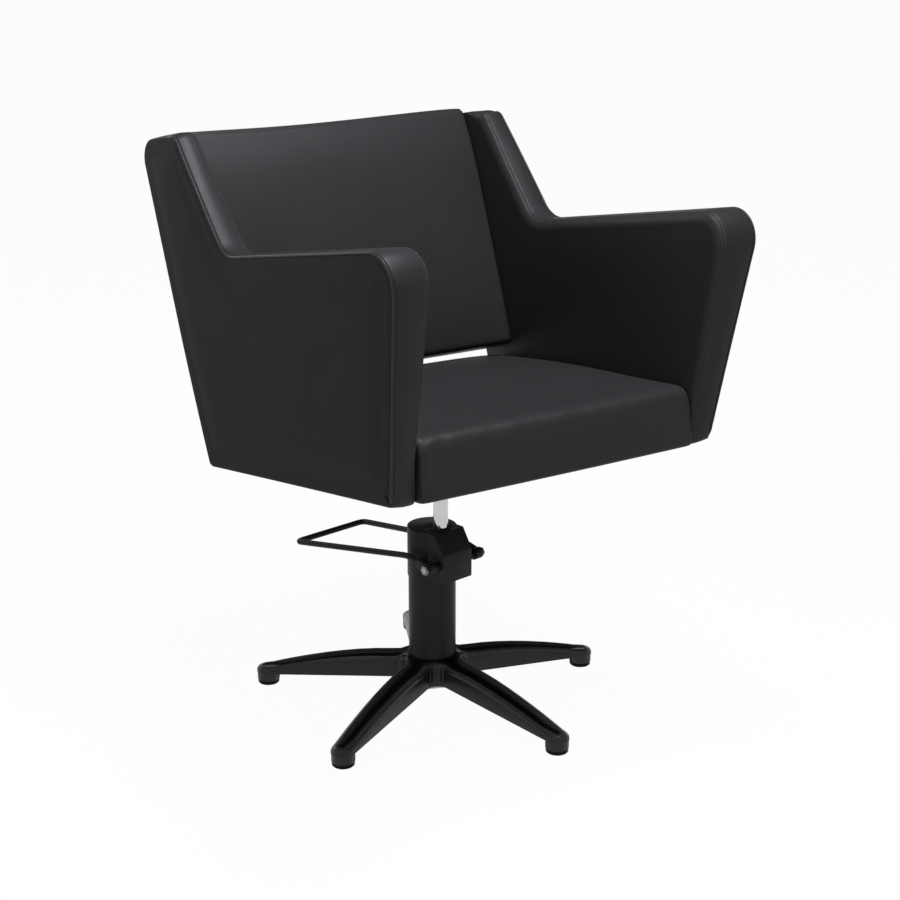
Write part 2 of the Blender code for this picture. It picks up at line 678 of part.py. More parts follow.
def pedal_loop(parent):
    """Bent rod with two arms and an end bar, its ends seated in the cranks."""
    path = []
    for side in (-1, 1):
        centre, along, knee = crank_axis(side)
        start = centre + along * (SOCKET_START + GAP)
        corner = Vector((side * PEDAL_HALF_WIDTH_END, PEDAL_LENGTH, -PEDAL_DROP))
        across = corner - Vector((side, 0, 0))
        arm = [start] + rounded_corner(start, knee, corner, PEDAL_CORNER, 4)
        arm.append(knee.lerp(corner, 0.5))
        arm += rounded_corner(knee, corner, across, PEDAL_CORNER, 6)
        path += arm if side < 0 else arm[::-1]
    curve = bpy.data.curves.new("pedal_loop", "CURVE")
    curve.dimensions = "3D"
    curve.bevel_depth = PEDAL_ROD_RADIUS
    curve.bevel_resolution = 3
    curve.use_fill_caps = True
    spline = curve.splines.new("POLY")
    spline.points.add(len(path) - 1)
    for point, place_at in zip(spline.points, path):
        point.co = (*place_at, 1)
    loop = bpy.data.objects.new("pedal_loop", curve)
    PARTS.objects.link(loop)
    loop.parent = parent
    curve.materials.append(PAINT)
    return loop


def pedal_crank(name, parent, side):
    """Lever on the end of the shaft with a socket for the loop's rod."""
    half = CRANK_WIDTH / 2
    centre, along, knee = crank_axis(side)
    crank = cylinder(name, CRANK_RADIUS, -half, half)
    place(crank, parent, PAINT, centre, (0, math.pi / 2, 0))
    pitch = (math.atan2(along.z, along.y), 0, 0)
    lug = box("lug", (-half, 0, -CRANK_LUG_HALF_HEIGHT), (half, CRANK_LUG_LENGTH, CRANK_LUG_HALF_HEIGHT))
    join(crank, lug, parent, centre, pitch)
    bore = cylinder("rod_socket", PEDAL_ROD_RADIUS + GAP, SOCKET_START, CRANK_LUG_LENGTH + 0.01)
    cut(crank, bore, parent, centre, along.to_track_quat("Z", "Y").to_euler())
    shaft = cylinder("shaft_bore", SHAFT_RADIUS + GAP, -CRANK_WIDTH, CRANK_WIDTH)
    cut(crank, shaft, parent, centre, (0, math.pi / 2, 0))
    return crank


def pedal(parent):
    """Everything that turns with the pedal: loop, shaft, cranks, end nuts and the rocker."""
    pedal_loop(parent)
    across = (0, math.pi / 2, 0)
    shaft = cylinder("pedal_shaft", SHAFT_RADIUS, -SHAFT_HALF_LENGTH, SHAFT_HALF_LENGTH)
    place(shaft, parent, STEEL, rotation=across)
    for label, side in (("right", -1), ("left", 1)):
        pedal_crank("pedal_crank_" + label, parent, side)
        start, end = BLOCK_HALF_WIDTH + GAP, CRANK_INNER - GAP
        spacer = ring_profile(CRANK_RADIUS - 0.002, SHAFT_RADIUS + GAP, start, end)
        place(turned("shaft_spacer_" + label, spacer, SMALL_SIDES, True), parent, PLASTIC,
              rotation=(0, side * math.pi / 2, 0))
        nut_low = CRANK_INNER + CRANK_WIDTH + GAP
        nut = cylinder("shaft_nut_" + label, SHAFT_NUT_RADIUS, nut_low, nut_low + SHAFT_NUT_HEIGHT, 6)
        place(nut, parent, STEEL, rotation=(0, side * math.pi / 2, 0))
        thread = cylinder("thread", SHAFT_RADIUS + GAP, nut_low - 0.01, nut_low + 0.02)
        cut(nut, thread, rotation=(0, side * math.pi / 2, 0))
    rocker = cylinder("pump_rocker", ROCKER_RADIUS, -ROCKER_WIDTH / 2, ROCKER_WIDTH / 2)
    place(rocker, parent, STEEL, rotation=across)
    half = ROCKER_WIDTH / 2
    nose = box("nose", (-half, 0, -NOSE_UNDERSIDE), (half, ROCKER_ARM + 0.0005, NOSE_UNDERSIDE))
    join(rocker, nose)
    cut(rocker, cylinder("shaft_bore", SHAFT_RADIUS + GAP, -ROCKER_WIDTH, ROCKER_WIDTH), rotation=across)


def plunger(parent):
    """Pump plunger under the rocker, with its return spring."""
    low = PLUNGER_TOP_Z - PLUNGER_LENGTH
    collar_low = PLUNGER_TOP_Z - COLLAR_HEIGHT
    profile = [(0, PLUNGER_TOP_Z), (PLUNGER_COLLAR, PLUNGER_TOP_Z), (PLUNGER_COLLAR, collar_low),
               (PLUNGER_RADIUS, collar_low), (PLUNGER_RADIUS, low), (0, low)]
    place(turned("pump_plunger", profile, SMALL_SIDES), parent, STEEL)
    coil_radius = PLUNGER_COLLAR - SPRING_WIRE
    low_z = CHAMBER_FLOOR_Z + SPRING_WIRE + GAP
    high_z = collar_low - SPRING_WIRE - GAP
    steps = SPRING_TURNS * 10
    curve = bpy.data.curves.new("plunger_spring", "CURVE")
    curve.dimensions = "3D"
    curve.bevel_depth = SPRING_WIRE
    curve.bevel_resolution = 1
    curve.use_fill_caps = True
    spline = curve.splines.new("POLY")
    spline.points.add(steps)
    for i, point in enumerate(spline.points):
        angle = 2 * math.pi * SPRING_TURNS * i / steps
        height = low_z + (high_z - low_z) * i / steps
        point.co = (coil_radius * math.cos(angle), coil_radius * math.sin(angle), height, 1)
    pitch = (high_z - low_z) / SPRING_TURNS
    print("plunger spring: least gap between turns %.2f mm" % ((pitch - 2 * SPRING_WIRE) * 1000))
    spring = bpy.data.objects.new("plunger_spring", curve)
    PARTS.objects.link(spring)
    spring.parent = parent
    curve.materials.append(STEEL)


# Seat

def inner_face(y, z):
    """Half-width of the space between the side panels."""
    return INNER_HALF_WIDTH + INNER_LEAN * z + INNER_TOE * y


def outer_face(y, z):
    """Half-width over the side panels: flared at the front, upright at the rear."""
    front_y, front_z = PANEL_FRONT_LOW
    front = OUTER_HALF_WIDTH_FRONT + OUTER_FLARE * (z - front_z)
    share = (y - front_y) / (PANEL_REAR_TOP[0] - front_y)
    return front + (OUTER_HALF_WIDTH_REAR - front) * min(share * 1.2, 1.0)


def seat_to_chair(v, w):
    """A point of the tilted seat frame as (y, z) behind the swivel axis."""
    return (v * math.cos(SEAT_TILT) + w * math.sin(SEAT_TILT),
            SEAT_UNDERSIDE_Z - v * math.sin(SEAT_TILT) + w * math.cos(SEAT_TILT))


def back_to_chair(v, w):
    """A point of the reclined back frame as (y, z) behind the swivel axis."""
    return (BACK_ORIGIN[0] + v * math.sin(BACK_RECLINE) - w * math.cos(BACK_RECLINE),
            BACK_ORIGIN[1] + v * math.cos(BACK_RECLINE) + w * math.sin(BACK_RECLINE))


def cushion(name, across, along, position, front, rear, waists=(0.5,), levels=1):
    """Soft form: a cage over a grid, rounded by subdivision.

    across and along are the cage's grid lines, -1 to 1. position gives a grid point's place
    in the plane, front and rear its two heights, and waists the rings between the two faces.
    """
    bm = bmesh.new()
    last_u, last_v = len(across) - 1, len(along) - 1

    def layer(height):
        rows = []
        for v in along:
            rows.append([bm.verts.new((*position(u, v), height(u, v))) for u in across])
        return rows

    top, bottom = layer(front), layer(rear)
    for i in range(last_v):
        for j in range(last_u):
            for rows in (top, bottom):
                bm.faces.new((rows[i][j], rows[i][j + 1], rows[i + 1][j + 1], rows[i + 1][j]))
    border = [(0, j) for j in range(last_u)] + [(i, last_u) for i in range(last_v)]
    border += [(last_v, j) for j in range(last_u, 0, -1)] + [(i, 0) for i in range(last_v, 0, -1)]
    rings = [[top[i][j] for i, j in border]]
    for share in waists:
        ring = []
        for i, j in border:
            ring.append(bm.verts.new(top[i][j].co.lerp(bottom[i][j].co, share)))
        rings.append(ring)
    rings.append([bottom[i][j] for i, j in border])
    for ring_a, ring_b in zip(rings, rings[1:]):
        for k in range(len(border)):
            n = (k + 1) % len(border)
            bm.faces.new((ring_a[k], ring_a[n], ring_b[n], ring_b[k]))
    obj = mesh_object(name, bm)
    smooth = obj.modifiers.new("soft form", "SUBSURF")
    smooth.levels = levels
    smooth.render_levels = levels
    return obj


SEAT_GRID_U = (-1, -0.94, -0.7, -0.35, 0, 0.35, 0.7, 0.94, 1)
SEAT_GRID_V = (-1, -0.94, -0.75, -0.4, 0, 0.4, 0.8, 0.94, 1)


def seat_span(v):
    """Grid line -1 to 1 as a distance behind the swivel axis along the seat."""
    middle = (SEAT_REAR - SEAT_FRONT) / 2
    return middle + v * (SEAT_REAR + SEAT_FRONT) / 2


def seat_half_width(along):
    y, z = seat_to_chair(along, SEAT_SIDE_HEIGHT / 2)
    return inner_face(y, z) - CUSHION_GAP


def seat_cushion(parent):
    """Seat cushion with its front skirt, hollow below for the frame."""

    def position(u, v):
        along = seat_span(v)
        draw_in = SEAT_DRAW_IN * (1 - v * v) * abs(u) ** 8
        bow = SEAT_FRONT_BOW * (1 - u * u) * (1 if v < 0 else 0)
        return (u * (seat_half_width(along) - draw_in), along - bow * abs(v) ** 8)

    def top(u, v):
        edge = SEAT_EDGE_HEIGHT + (SEAT_SIDE_HEIGHT - SEAT_EDGE_HEIGHT) * ramp(v, -1.0, 0.35)
        crown = SEAT_CROWN * (1 - u ** 4) * ramp(v, -1.1, 0.2) * (1 - 0.6 * ramp(v, 0.6, 1.0))
        return edge + crown

    def under(u, v):
        return 0.0

    form = cushion("seat_cushion", SEAT_GRID_U, SEAT_GRID_V, position, top, under, (0.3, 0.93))
    obj = place(form, parent, LEATHER)
    front = -SEAT_FRONT + SEAT_SKIRT
    rear = SEAT_REAR - SEAT_SKIRT
    low = (-SEAT_HOLLOW_HALF_WIDTH, front - GAP, -SEAT_HOLLOW_DROP)
    hollow = box("frame_hollow", low, (SEAT_HOLLOW_HALF_WIDTH, rear + GAP, FRAME_HEIGHT + GAP))
    cut(obj, hollow)
    return obj


def seat_frame(parent):
    """Plywood tray under the cushion: a deck on two side rails, a front and a rear rail."""
    front = -SEAT_FRONT + SEAT_SKIRT
    rear = SEAT_REAR - SEAT_SKIRT

    def outline(inset):
        points = []
        for along, side in ((front + inset, -1), (front + inset, 1), (rear - inset, 1), (rear - inset, -1)):
            points.append((side * (seat_half_width(along) - inset), along))
        return points

    tray = board("seat_frame", outline(0.0), FRAME_HEIGHT)
    place(tray, parent, PLYWOOD, (0, 0, FRAME_HEIGHT / 2))
    pocket = board("pocket", outline(FRAME_RAIL), FRAME_HEIGHT)
    cut(tray, pocket, location=(0, 0, FRAME_HEIGHT / 2 - FRAME_DECK))
    for x, y in plate_bolt_places():
        hole = cylinder("bolt_hole", BOLT_RADIUS + GAP, 0, FRAME_HEIGHT - 0.002, BOLT_SIDES)
        cut(tray, hole, location=(x, y, 0))
    return tray


def plate_bolt_places():
    half = PLATE_BOLT_SPACING / 2
    return [(x, y) for x in (-half, half) for y in (-half, half)]


def bolt_profile(length, head_radius=BOLT_HEAD_RADIUS):
    """Cap bolt, head below and shank up: from -BOLT_HEAD_HEIGHT to length."""
    return [(0, length), (BOLT_RADIUS, length), (BOLT_RADIUS, 0), (head_radius, 0),
            (head_radius, 0.0015 - BOLT_HEAD_HEIGHT), (head_radius - 0.0015, -BOLT_HEAD_HEIGHT),
            (0, -BOLT_HEAD_HEIGHT)]


def seat_plate(parent, seat):
    """Steel plate under the deck, with the upright socket that takes the piston rod."""
    deck = FRAME_HEIGHT - FRAME_DECK
    low = deck - GAP - PLATE_THICKNESS
    half = PLATE_SIZE / 2
    plate = place(box("seat_plate", (-half, -half, low), (half, half, deck - GAP)), parent, PAINT)
    for x, y in plate_bolt_places():
        cut(plate, cylinder("bolt_hole", BOLT_RADIUS + GAP, 0, FRAME_HEIGHT, BOLT_SIDES), location=(x, y, 0))
        shank = FRAME_DECK + PLATE_THICKNESS - 0.003
        name = "plate_bolt_%s_%s" % ("right" if x < 0 else "left", "front" if y < 0 else "rear")
        place(turned(name, bolt_profile(shank), BOLT_SIDES), parent, STEEL, (x, y, low - GAP))
    hub_top = seat_to_chair(0, low + PLATE_THICKNESS / 2)[1]
    hub = cylinder("hub", PLATE_HUB_RADIUS, PLATE_HUB_BOTTOM_Z, hub_top, ROUND_SIDES)
    join(plate, hub, seat)
    bore = cylinder("rod_socket", ROD_RADIUS + GAP, 0, hub_top - ROD_SOCKET_ROOF, ROUND_SIDES)
    cut(plate, bore, seat)
    chamfer = 0.002
    rod_top = hub_top - ROD_SOCKET_ROOF - GAP
    rod = [(0, rod_top), (ROD_RADIUS - chamfer, rod_top), (ROD_RADIUS, rod_top - chamfer),
           (ROD_RADIUS, ROD_BOTTOM_Z), (0, ROD_BOTTOM_Z)]
    place(turned("piston_rod", rod), seat, CHROME)


# Back

BACK_GRID_U = (-1, -0.95, -0.7, -0.35, 0, 0.35, 0.7, 0.95, 1)
BACK_GRID_V = (-1, -0.93, -0.7, -0.3, 0.1, 0.5, 0.85, 1)


def back_half_width(v, w):
    return inner_face(*back_to_chair(v, w)) - CUSHION_GAP


def back_rest(parent):
    """Back cushion over its board, and the upholstered panel that closes the rear."""
    board_front = -BACK_CUSHION_DEPTH - GAP
    board_rear = board_front - BOARD_THICKNESS
    panel_front = board_rear - GAP
    middle = (board_front + board_rear) / 2

    def span(v):
        return (v + 1) / 2 * BACK_HEIGHT

    def position(u, v):
        draw_in = BACK_DRAW_IN * (1 - v * v) * abs(u) ** 8
        return (u * (back_half_width(span(v), board_rear) - draw_in), span(v))

    def front(u, v):
        roll = BACK_TOP_ROLL * ramp(v, 0.7, 1.0) + BACK_LOW_ROLL * ramp(-v, 0.8, 1.0)
        return BACK_CROWN * (1 - u ** 4) * (1 - v ** 4) + BACK_FULLNESS * (1 - v * v) - roll

    def rear(u, v):
        return board_rear

    def trapezoid(low, high, w, inset):
        return [(-back_half_width(low, w) + inset, low), (back_half_width(low, w) - inset, low),
                (back_half_width(high, w) - inset, high), (-back_half_width(high, w) + inset, high)]

    pad = place(cushion("back_cushion", BACK_GRID_U, BACK_GRID_V, position, front, rear), parent, LEATHER)
    low, high = BOARD_INSET, BACK_HEIGHT - BOARD_INSET
    pocket = board("board_pocket", trapezoid(low - GAP, high + GAP, middle, BOARD_INSET - GAP), POCKET_DEPTH)
    cut(pad, pocket, location=(0, 0, board_front + GAP - POCKET_DEPTH / 2))
    core = board("back_board", trapezoid(low, high, middle, BOARD_INSET), BOARD_THICKNESS)
    place(core, parent, PLYWOOD, (0, 0, middle))
    low, high = REAR_PANEL_INSET, BACK_HEIGHT - REAR_PANEL_INSET
    outline = trapezoid(low, high, panel_front - REAR_PANEL_DEPTH, REAR_PANEL_SIDE)
    panel = board("back_rear_panel", outline, REAR_PANEL_DEPTH)
    place(panel, parent, LEATHER, (0, 0, panel_front - REAR_PANEL_DEPTH / 2))
    soften = panel.modifiers.new("rounded edge", "BEVEL")
    soften.width = REAR_PANEL_DEPTH * 0.4
    soften.segments = 2
    soften.limit_method = "ANGLE"
    return core, pad, middle


# Side panels

PANEL_OUTLINE = [PANEL_FRONT_LOW, PANEL_REAR_LOW, PANEL_REAR_TOP, PANEL_WING_TOP, PANEL_DIP, PANEL_FRONT_TOP]


def spread(start, end, count):
    """Evenly spaced points from start to end, both included."""
    a, b = Vector(start), Vector(end)
    return [tuple(a.lerp(b, i / count)) for i in range(count + 1)]


def panel_borders():
    """The panel's four borders in side view, each as points with matching counts."""
    front_arc = fillet(PANEL_FRONT_LOW, PANEL_FRONT_TOP, PANEL_DIP, ARM_CORNER, 6)
    dip_arc = fillet(PANEL_FRONT_TOP, PANEL_DIP, PANEL_WING_TOP, DIP_FILLET, 5)
    wing_arc = fillet(PANEL_DIP, PANEL_WING_TOP, PANEL_REAR_TOP, WING_CORNER, 3)
    rear_arc = fillet(PANEL_WING_TOP, PANEL_REAR_TOP, PANEL_REAR_LOW, REAR_CORNER, 4)
    top = front_arc[3:] + spread(front_arc[-1], dip_arc[0], 5)[1:-1] + dip_arc
    top += spread(dip_arc[-1], wing_arc[0], 3)[1:-1] + wing_arc
    top += spread(wing_arc[-1], rear_arc[0], 2)[1:-1] + rear_arc[:3]
    front = spread(PANEL_FRONT_LOW, front_arc[0], 5) + front_arc[1:4]
    rear = spread(PANEL_REAR_LOW, rear_arc[4], 6) + rear_arc[3:1:-1]
    low, high = Vector(PANEL_FRONT_LOW), Vector(PANEL_REAR_LOW)
    bottom = [tuple(low.lerp(high, share)) for share in fractions(top)]
    return bottom, top, front, rear


def offset_loop(points, distance):
    """Move a closed counter-clockwise loop of points inwards, with mitred corners."""
    moved = []
    count = len(points)
    for i in range(count):
        before = (Vector(points[i]) - Vector(points[i - 1])).normalized()
        after = (Vector(points[(i + 1) % count]) - Vector(points[i])).normalized()
        normal = Vector((-before.y - after.y, before.x + after.x)) / (1 + before.dot(after))
        moved.append(Vector(points[i]) + normal * distance)
    return moved


def fractions(points):
    """Distance along a line of points, from 0 to 1."""
    lengths = [0.0]
    for a, b in zip(points, points[1:]):
        lengths.append(lengths[-1] + (Vector(b) - Vector(a)).length)
    return [length / lengths[-1] for length in lengths]


def panel_grid(bottom, top, front, rear):
    """Grid over the panel in side view, filled in from its four borders."""
    across = fractions(top)
    upwards = [(a + b) / 2 for a, b in zip(fractions(front), fractions(rear))]
    corners = [Vector(p) for p in (bottom[0], bottom[-1], top[0], top[-1])]
    rows = []
    for j, v in enumerate(upwards):
        row = []
        for i, u in enumerate(across):
            along = Vector(bottom[i]).lerp(Vector(top[i]), v) + Vector(front[j]).lerp(Vector(rear[j]), u)
            corner = corners[0].lerp(corners[1], u).lerp(corners[2].lerp(corners[3], u), v)
            row.append(along - corner)
        rows.append(row)
    return rows


def slant_front(bm, side):
    """Set the inner edge of the arm's front behind its outer edge."""
    (low_y, low_z), (top_y, top_z) = PANEL_FRONT_LOW, PANEL_FRONT_TOP
    for vert in bm.verts:
        _, y, z = vert.co
        front_y = low_y + (top_y - low_y) * (z - low_z) / (top_z - low_z)
        outer, inner = outer_face(y, z), inner_face(y, z)
        inwards = ramp(side * vert.co.x, outer, inner)
        vert.co.y += PANEL_FRONT_SLANT * inwards * (1 - ramp(y - front_y, 0, PANEL_SLANT_REACH))


def panel_mesh(side):
    """Closed form of a side panel: two faces, and edges rounded over to a flat band."""
    bottom, top, front, rear = panel_borders()
    loop = bottom[:-1] + rear[:-1] + top[:0:-1] + front[:0:-1]
    inset = offset_loop(loop, PANEL_EDGE_ROUND)
    n, m = len(bottom) - 1, len(front) - 1
    ends = (0, n, n + m, 2 * n + m)
    closed = inset + inset[:1]
    grid = panel_grid(closed[ends[0]:ends[1] + 1], closed[ends[2]:ends[3] + 1][::-1],
                      closed[ends[3]:][::-1], closed[ends[1]:ends[2] + 1])
    border = [(0, i) for i in range(n)] + [(j, n) for j in range(m)]
    border += [(m, i) for i in range(n, 0, -1)] + [(j, 0) for j in range(m, 0, -1)]
    bm = bmesh.new()
    rings = []
    for face, sign in ((outer_face, -1), (inner_face, 1)):
        rows = [[bm.verts.new((side * face(p.x, p.y), p.x, p.y)) for p in row] for row in grid]
        for j in range(m):
            for i in range(n):
                bm.faces.new((rows[j][i], rows[j][i + 1], rows[j + 1][i + 1], rows[j + 1][i]))
        chain = [[rows[j][i] for j, i in border]]
        for turn in (math.radians(45), math.radians(90)):
            reach = PANEL_EDGE_ROUND * (1 - math.sin(turn))
            sink = PANEL_EDGE_ROUND * (1 - math.cos(turn))
            ring = []
            for p in offset_loop(loop, reach):
                ring.append(bm.verts.new((side * (face(p.x, p.y) + sign * sink), p.x, p.y)))
            chain.append(ring)
        if sign < 0:
            rings += chain
            crown = offset_loop(loop, -PANEL_BAND_CROWN)
            rings.append([bm.verts.new((side * (outer_face(*p) + inner_face(*p)) / 2, *p)) for p in crown])
        else:
            rings += chain[::-1]
    for ring_a, ring_b in zip(rings, rings[1:]):
        for k in range(len(ring_a)):
            after = (k + 1) % len(ring_a)
            bm.faces.new((ring_a[k], ring_a[after], ring_b[after], ring_b[k]))
    slant_front(bm, side)
    return bm


def side_panel(label, side, parent):
    """Padded side of the chair, arm and wing in one, hollow from below for its core."""
    panel = place(mesh_object("side_panel_" + label, panel_mesh(side)), parent, LEATHER)
    insets = [0.0] + [CORE_INSET] * 5
    radii = [0, 0, REAR_CORNER - CORE_INSET, 0, 0, ARM_CORNER - CORE_INSET]
    core_outline = rounded_outline(inset_outline(PANEL_OUTLINE, insets), radii)
    hollow_insets = [-CORE_SLOT_DROP] + [CORE_INSET - GAP] * 5
    hollow_radii = [radius + GAP if radius > 0 else 0 for radius in radii]
    hollow_outline = rounded_outline(inset_outline(PANEL_OUTLINE, hollow_insets), hollow_radii)
    front_y, front_z = PANEL_FRONT_LOW
    middle_x = inner_face(front_y, front_z) + CORE_FRONT_DEPTH + CORE_THICKNESS / 2 - CORE_TOE * front_y
    upright = (math.pi / 2, 0, math.pi / 2 - side * math.atan(CORE_TOE))
    location = (side * middle_x, 0, 0)
    core = board("panel_core_" + label, core_outline, CORE_THICKNESS)
    place(core, parent, PLYWOOD, location, upright)
    hollow = board("core_hollow", hollow_outline, CORE_THICKNESS + 2 * GAP)
    cut(panel, hollow, location=location, rotation=upright)
    return panel, core


def core_inner_x(y):
    """Half-width at the inner side of a panel's core."""
    front_y, front_z = PANEL_FRONT_LOW
    return inner_face(front_y, front_z) + CORE_FRONT_DEPTH + CORE_TOE * (y - front_y)


def fasten(name, side, start, y, z, drilled, parent, head):
    """A bolt or stud from start outwards into a panel's core, with its holes."""
    end = core_inner_x(y) + CORE_GRIP
    turn = (0, side * math.pi / 2, 0)
    if head:
        profile = bolt_profile(end - start)
        obj = turned(name, profile, BOLT_SIDES)
    else:
        obj = cylinder(name, BOLT_RADIUS, 0, end - start, BOLT_SIDES)
    place(obj, parent, STEEL, (side * start, y, z), turn)
    for piece in drilled:
        hole = cylinder("hole_" + name, BOLT_RADIUS + GAP, -0.001, end - start + 0.0005, BOLT_SIDES)
        cut(piece, hole, parent, (side * start, y, z), turn)


def upholstered_seat(seat):
    """Everything that swivels: the seat, the back, the side panels and their fasteners."""
    tilt = empty("seat_tilt_frame", seat, (0, 0, SEAT_UNDERSIDE_Z), (-SEAT_TILT, 0, 0))
    recline = empty("back_recline_frame", seat, (0, *BACK_ORIGIN), (math.pi / 2 - BACK_RECLINE, 0, 0))
    seat_cushion(tilt)
    tray = seat_frame(tilt)
    seat_plate(tilt, seat)
    core_board, pad, board_middle = back_rest(recline)
    for label, side in (("right", -1), ("left", 1)):
        panel, core = side_panel(label, side, seat)
        for along, end in zip(RAIL_BOLT_SPAN, ("front", "rear")):
            y, z = seat_to_chair(along, RAIL_BOLT_HEIGHT)
            start = seat_half_width(along) - FRAME_RAIL - GAP
            fasten("rail_bolt_%s_%s" % (label, end), side, start, y, z, (tray, panel, core), seat, True)
        for height, end in zip(STUD_HEIGHTS, ("lower", "upper")):
            y, z = back_to_chair(height, board_middle)
            start = back_half_width(height, board_middle) - BOARD_INSET - STUD_GRIP
            name = "back_stud_%s_%s" % (label, end)
            fasten(name, side, start, y, z, (core_board, pad, panel, core), seat, False)


def build():
    base = empty("base_frame", None, (0, 0, 0), (0, 0, BASE_YAW))
    star_base(base)
    foot_glides(base)
    pump_column(base)
    pump_head(base)
    piston(empty("piston_frame", base, ROD_PLACE))
    pedal(empty("pedal_axis", base, SHAFT_PLACE))
    plunger(empty("plunger_axis", base, PLUNGER_PLACE))
    axis = Matrix.Rotation(BASE_YAW, 3, "Z") @ Vector(ROD_PLACE)
    upholstered_seat(empty("swivel_axis", None, axis))


build()
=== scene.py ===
# %% [markdown]
# # A salon styling chair
# The chair is a padded tub on a hydraulic pump. The metal pieces come ready from the frame. Here
# they get finishes and a few eased edges, and only the pump's small spring is wound again. The
# upholstery is made new: covers, welts, seams and stitches, because a sewn cover is what the eye
# sees first on this chair.

# %% Load the frame
import json
import math

import bmesh
import bpy
import numpy as np
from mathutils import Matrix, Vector


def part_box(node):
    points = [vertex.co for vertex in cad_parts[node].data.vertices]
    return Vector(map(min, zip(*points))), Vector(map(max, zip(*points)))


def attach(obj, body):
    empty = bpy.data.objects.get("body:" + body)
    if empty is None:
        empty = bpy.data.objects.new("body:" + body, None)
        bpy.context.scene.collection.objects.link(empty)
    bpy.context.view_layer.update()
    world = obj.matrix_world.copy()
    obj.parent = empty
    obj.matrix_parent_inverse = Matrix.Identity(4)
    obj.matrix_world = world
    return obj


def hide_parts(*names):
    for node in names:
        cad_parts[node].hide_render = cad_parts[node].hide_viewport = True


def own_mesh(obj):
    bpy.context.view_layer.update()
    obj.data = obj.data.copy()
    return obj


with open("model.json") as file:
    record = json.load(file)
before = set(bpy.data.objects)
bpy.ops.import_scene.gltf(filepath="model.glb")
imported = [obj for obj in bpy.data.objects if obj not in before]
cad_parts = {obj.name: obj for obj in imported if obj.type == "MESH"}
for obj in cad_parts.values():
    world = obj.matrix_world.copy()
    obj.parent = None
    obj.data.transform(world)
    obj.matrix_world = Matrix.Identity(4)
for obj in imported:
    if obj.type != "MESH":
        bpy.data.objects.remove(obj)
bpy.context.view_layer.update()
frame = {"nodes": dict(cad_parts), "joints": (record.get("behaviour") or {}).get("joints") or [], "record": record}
nodes = frame["nodes"]
swivel = next(j for j in frame["joints"] if j["name"] == "seat_swivel")["pos_m"]
SEAT_SHIFT = np.array([swivel[0], swivel[1], 0.0])
print("nodes", len(nodes), "swivel axis at", [round(c, 4) for c in swivel[:2]])

# %% [markdown]
# ## Camera
# The photograph is taken from the front left, a little above the arms, with a long lens. The
# camera's place follows from the five feet, the column and the edges of both side panels.

# %% Camera
VIEW_AZIMUTH = math.radians(-34.22)
VIEW_ELEVATION = math.radians(17.24)
CAMERA_PLACE = (-1.4442, -2.1758, 1.2403)
FOCAL_PIXELS = 1700
FRAME_PIXELS = 900
SENSOR_WIDTH = 36

camera_data = bpy.data.cameras.new("front_left_camera")
camera_data.sensor_width = SENSOR_WIDTH
camera_data.lens = FOCAL_PIXELS / FRAME_PIXELS * SENSOR_WIDTH
camera = bpy.data.objects.new("front_left_camera", camera_data)
bpy.context.scene.collection.objects.link(camera)
towards_camera = Vector((
    math.sin(VIEW_AZIMUTH) * math.cos(VIEW_ELEVATION),
    -math.cos(VIEW_AZIMUTH) * math.cos(VIEW_ELEVATION),
    math.sin(VIEW_ELEVATION)))
camera.location = CAMERA_PLACE
camera.rotation_euler = (-towards_camera).to_track_quat("-Z", "Y").to_euler()
bpy.context.scene.camera = camera
bpy.context.scene.view_settings.view_transform = "Standard"
print("lens", round(camera_data.lens, 1), "mm")

# %% [markdown]
# ## Writing shaders as sums
# A material is a small calculation on values such as noise. One class wraps an output socket, so
# that the calculation reads like arithmetic, and one method adds any other node.

# %% A socket that can be added and multiplied


class Wire:
    """An output socket, with arithmetic that adds Math nodes."""

    def __init__(self, board, socket):
        self.board = board
        self.socket = socket

    def maths(self, operation, other, swapped=False):
        values = (other, self) if swapped else (self, other)
        return self.board.add("ShaderNodeMath", {"operation": operation}, dict(enumerate(values)))

    def __add__(self, other):
        return self.maths("ADD", other)

    __radd__ = __add__

    def __mul__(self, other):
        return self.maths("MULTIPLY", other)

    __rmul__ = __mul__

    def __sub__(self, other):
        return self.maths("SUBTRACT", other)

    def __rsub__(self, other):
        return self.maths("SUBTRACT", other, True)

    def __pow__(self, other):
        return self.maths("POWER", other)


